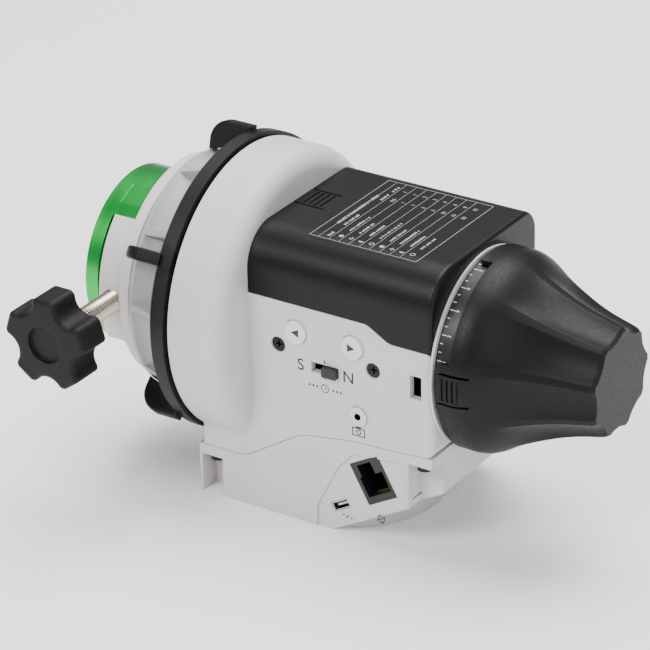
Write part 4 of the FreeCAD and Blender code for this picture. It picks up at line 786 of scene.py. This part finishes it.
@dataclass
class PolarScope:
    """Time and date circles, eyepiece and cap."""

    month_radius: float = 21.0
    date_radius: float = 26.0

    circle_radius: float = 32.9
    circle_start: float = 93.1
    hours: int = 24
    tick_step: float = 5.0
    tick_line: float = 0.24
    date_line: float = 0.24

    def build(self) -> None:
        """Dress the scope's parts and engrave its circles."""
        dress(MOULDED_BLACK, "scope_cap")
        dress(ANODISED_BLACK, "time_circle", "date_ring", "eyepiece", "focus_ring", "scope_tube")
        dress(LENS_GLASS, "objective_lens", "reticle", "eye_lens")
        dress(MATT_RUBBER, "eye_cup")
        self._engrave_hours()
        self._engrave_dates()

    def _engrave_hours(self) -> None:
        """Lay hour numbers and ticks round the time circle's rim."""
        art = Print()
        around = 2 * math.pi * self.circle_radius
        for i in range(int(360 / self.tick_step)):
            u = around * i * self.tick_step / 360
            tall = 1.9 if i % 3 == 0 else 1.1
            art.bar(u - self.tick_line / 2, 0.5, self.tick_line, tall)
        for hour in range(self.hours):
            art.text(str(hour), around * hour / self.hours, 3.2, 1.2)

        def surface(u: float, v: float) -> Vector:
            """Point of the rim: u runs round the axis and v along it."""
            return round_axis(self.circle_start + v, self.circle_radius + INK_LIFT,
                              180 - 360 * u / around)

        new_piece("hour_marks", art.lay(surface), "polar_head", PRINT_WHITE)

    def _engrave_dates(self) -> None:
        """Lay month ticks and numbers on the date ring's rear face, under the cap."""
        art = Print()
        for i in range(36):
            angle = math.radians(10 * i)
            inner, outer = 22.8 if i % 3 == 0 else 24.2, self.date_radius
            side = Vector((-math.sin(angle), math.cos(angle))) * self.date_line / 2
            out = Vector((math.cos(angle), math.sin(angle)))
            corners = (inner * out + side, inner * out - side, outer * out - side,
                       outer * out + side)
            art.polygon([tuple(corner) for corner in corners])
        for month in range(MONTHS):
            angle = math.radians(360 / MONTHS * (month + 0.5))
            art.text(str(month + 1), self.month_radius * math.cos(angle),
                     self.month_radius * math.sin(angle), 2.2)
        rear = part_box("date_ring")[1][0]

        def surface(u: float, v: float) -> Vector:
            """Point of the ring's rear face."""
            return Vector((rear + INK_LIFT * MM, AXIS.y + u * MM, AXIS.z + v * MM))

        new_piece("date_marks", art.lay(surface), "date_dial", PRINT_WHITE)


# ---------------------------------------------------------------- studio
@dataclass
class Studio:
    """Floor, soft lights and camera."""

    azimuth: float = 33.54
    elevation: float = 26.9
    roll: float = -1.21
    lens_mm: float = 200.8
    camera_at: tuple[float, float, float] = (0.5991, -0.9216, 0.6187)

    def build(self) -> None:
        """Set up the pale room."""
        self._floor()
        self._lights()
        self._camera()

    @staticmethod
    def _floor() -> None:
        """Lay a wide plain floor under the object."""
        mesh = bmesh.new()
        floor = min(cad_bounds[0][2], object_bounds()[0][2])
        reach = 6.0
        corners = [mesh.verts.new((x, y, floor)) for x, y in
                   ((-reach, -reach), (reach, -reach), (reach, reach), (-reach, reach))]
        mesh.faces.new(corners)
        data = bpy.data.meshes.new("studio_floor")
        mesh.to_mesh(data)
        mesh.free()
        data.materials.append(STUDIO_BOARD.build())
        piece = bpy.data.objects.new("studio_floor", data)
        bpy.context.scene.collection.objects.link(piece)
        piece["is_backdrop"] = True

    def _lights(self) -> None:
        """Hang three soft boxes and fill the room with pale light."""
        for name, at, size, power in (("key", (-0.35, -1.2, 1.2), 0.7, 22.0),
                                      ("fill", (1.4, -0.7, 0.8), 1.0, 8.0),
                                      ("top", (0.0, 0.45, 1.5), 1.3, 46.0)):
            light = bpy.data.lights.new(name, "AREA")
            light.shape = "SQUARE"
            light.size = size
            light.energy = power
            lamp = bpy.data.objects.new(name, light)
            lamp.location = at
            lamp.rotation_euler = (AXIS - Vector(at)).to_track_quat("-Z", "Y").to_euler()
            bpy.context.scene.collection.objects.link(lamp)
        world = bpy.data.worlds.new("studio_air")
        world.use_nodes = True
        world.node_tree.nodes["Background"].inputs["Color"].default_value = linear("#F4F5F7")
        world.node_tree.nodes["Background"].inputs["Strength"].default_value = 0.4
        bpy.context.scene.world = world

    def _camera(self) -> None:
        """Place the camera by its azimuth, elevation and roll."""
        a, e, r = (math.radians(v) for v in (self.azimuth, self.elevation, self.roll))
        back = Vector((math.sin(a) * math.cos(e), -math.cos(a) * math.cos(e), math.sin(e)))
        level = Vector((math.cos(a), math.sin(a), 0.0))
        up = back.cross(level)
        right = level * math.cos(r) + up * math.sin(r)
        top = up * math.cos(r) - level * math.sin(r)
        data = bpy.data.cameras.new("camera")
        data.lens = self.lens_mm
        data.sensor_width = 36.0
        camera = bpy.data.objects.new("camera", data)
        turn = Matrix((right, top, back)).transposed().to_4x4()
        camera.matrix_world = Matrix.Translation(self.camera_at) @ turn
        bpy.context.scene.collection.objects.link(camera)
        bpy.context.scene.camera = camera


def main() -> None:
    """Build every sub-assembly, then the studio."""
    logging.basicConfig(level=logging.INFO, format="%(name)s: %(message)s")
    for part in (Housing(), ControlPanel(), BatteryBay(), CameraSocket(), PolarAxis(),
                 PolarScope(), Studio()):
        log.info("building %s", type(part).__name__)
        part.build()


if __name__ == "__main__":
    main()
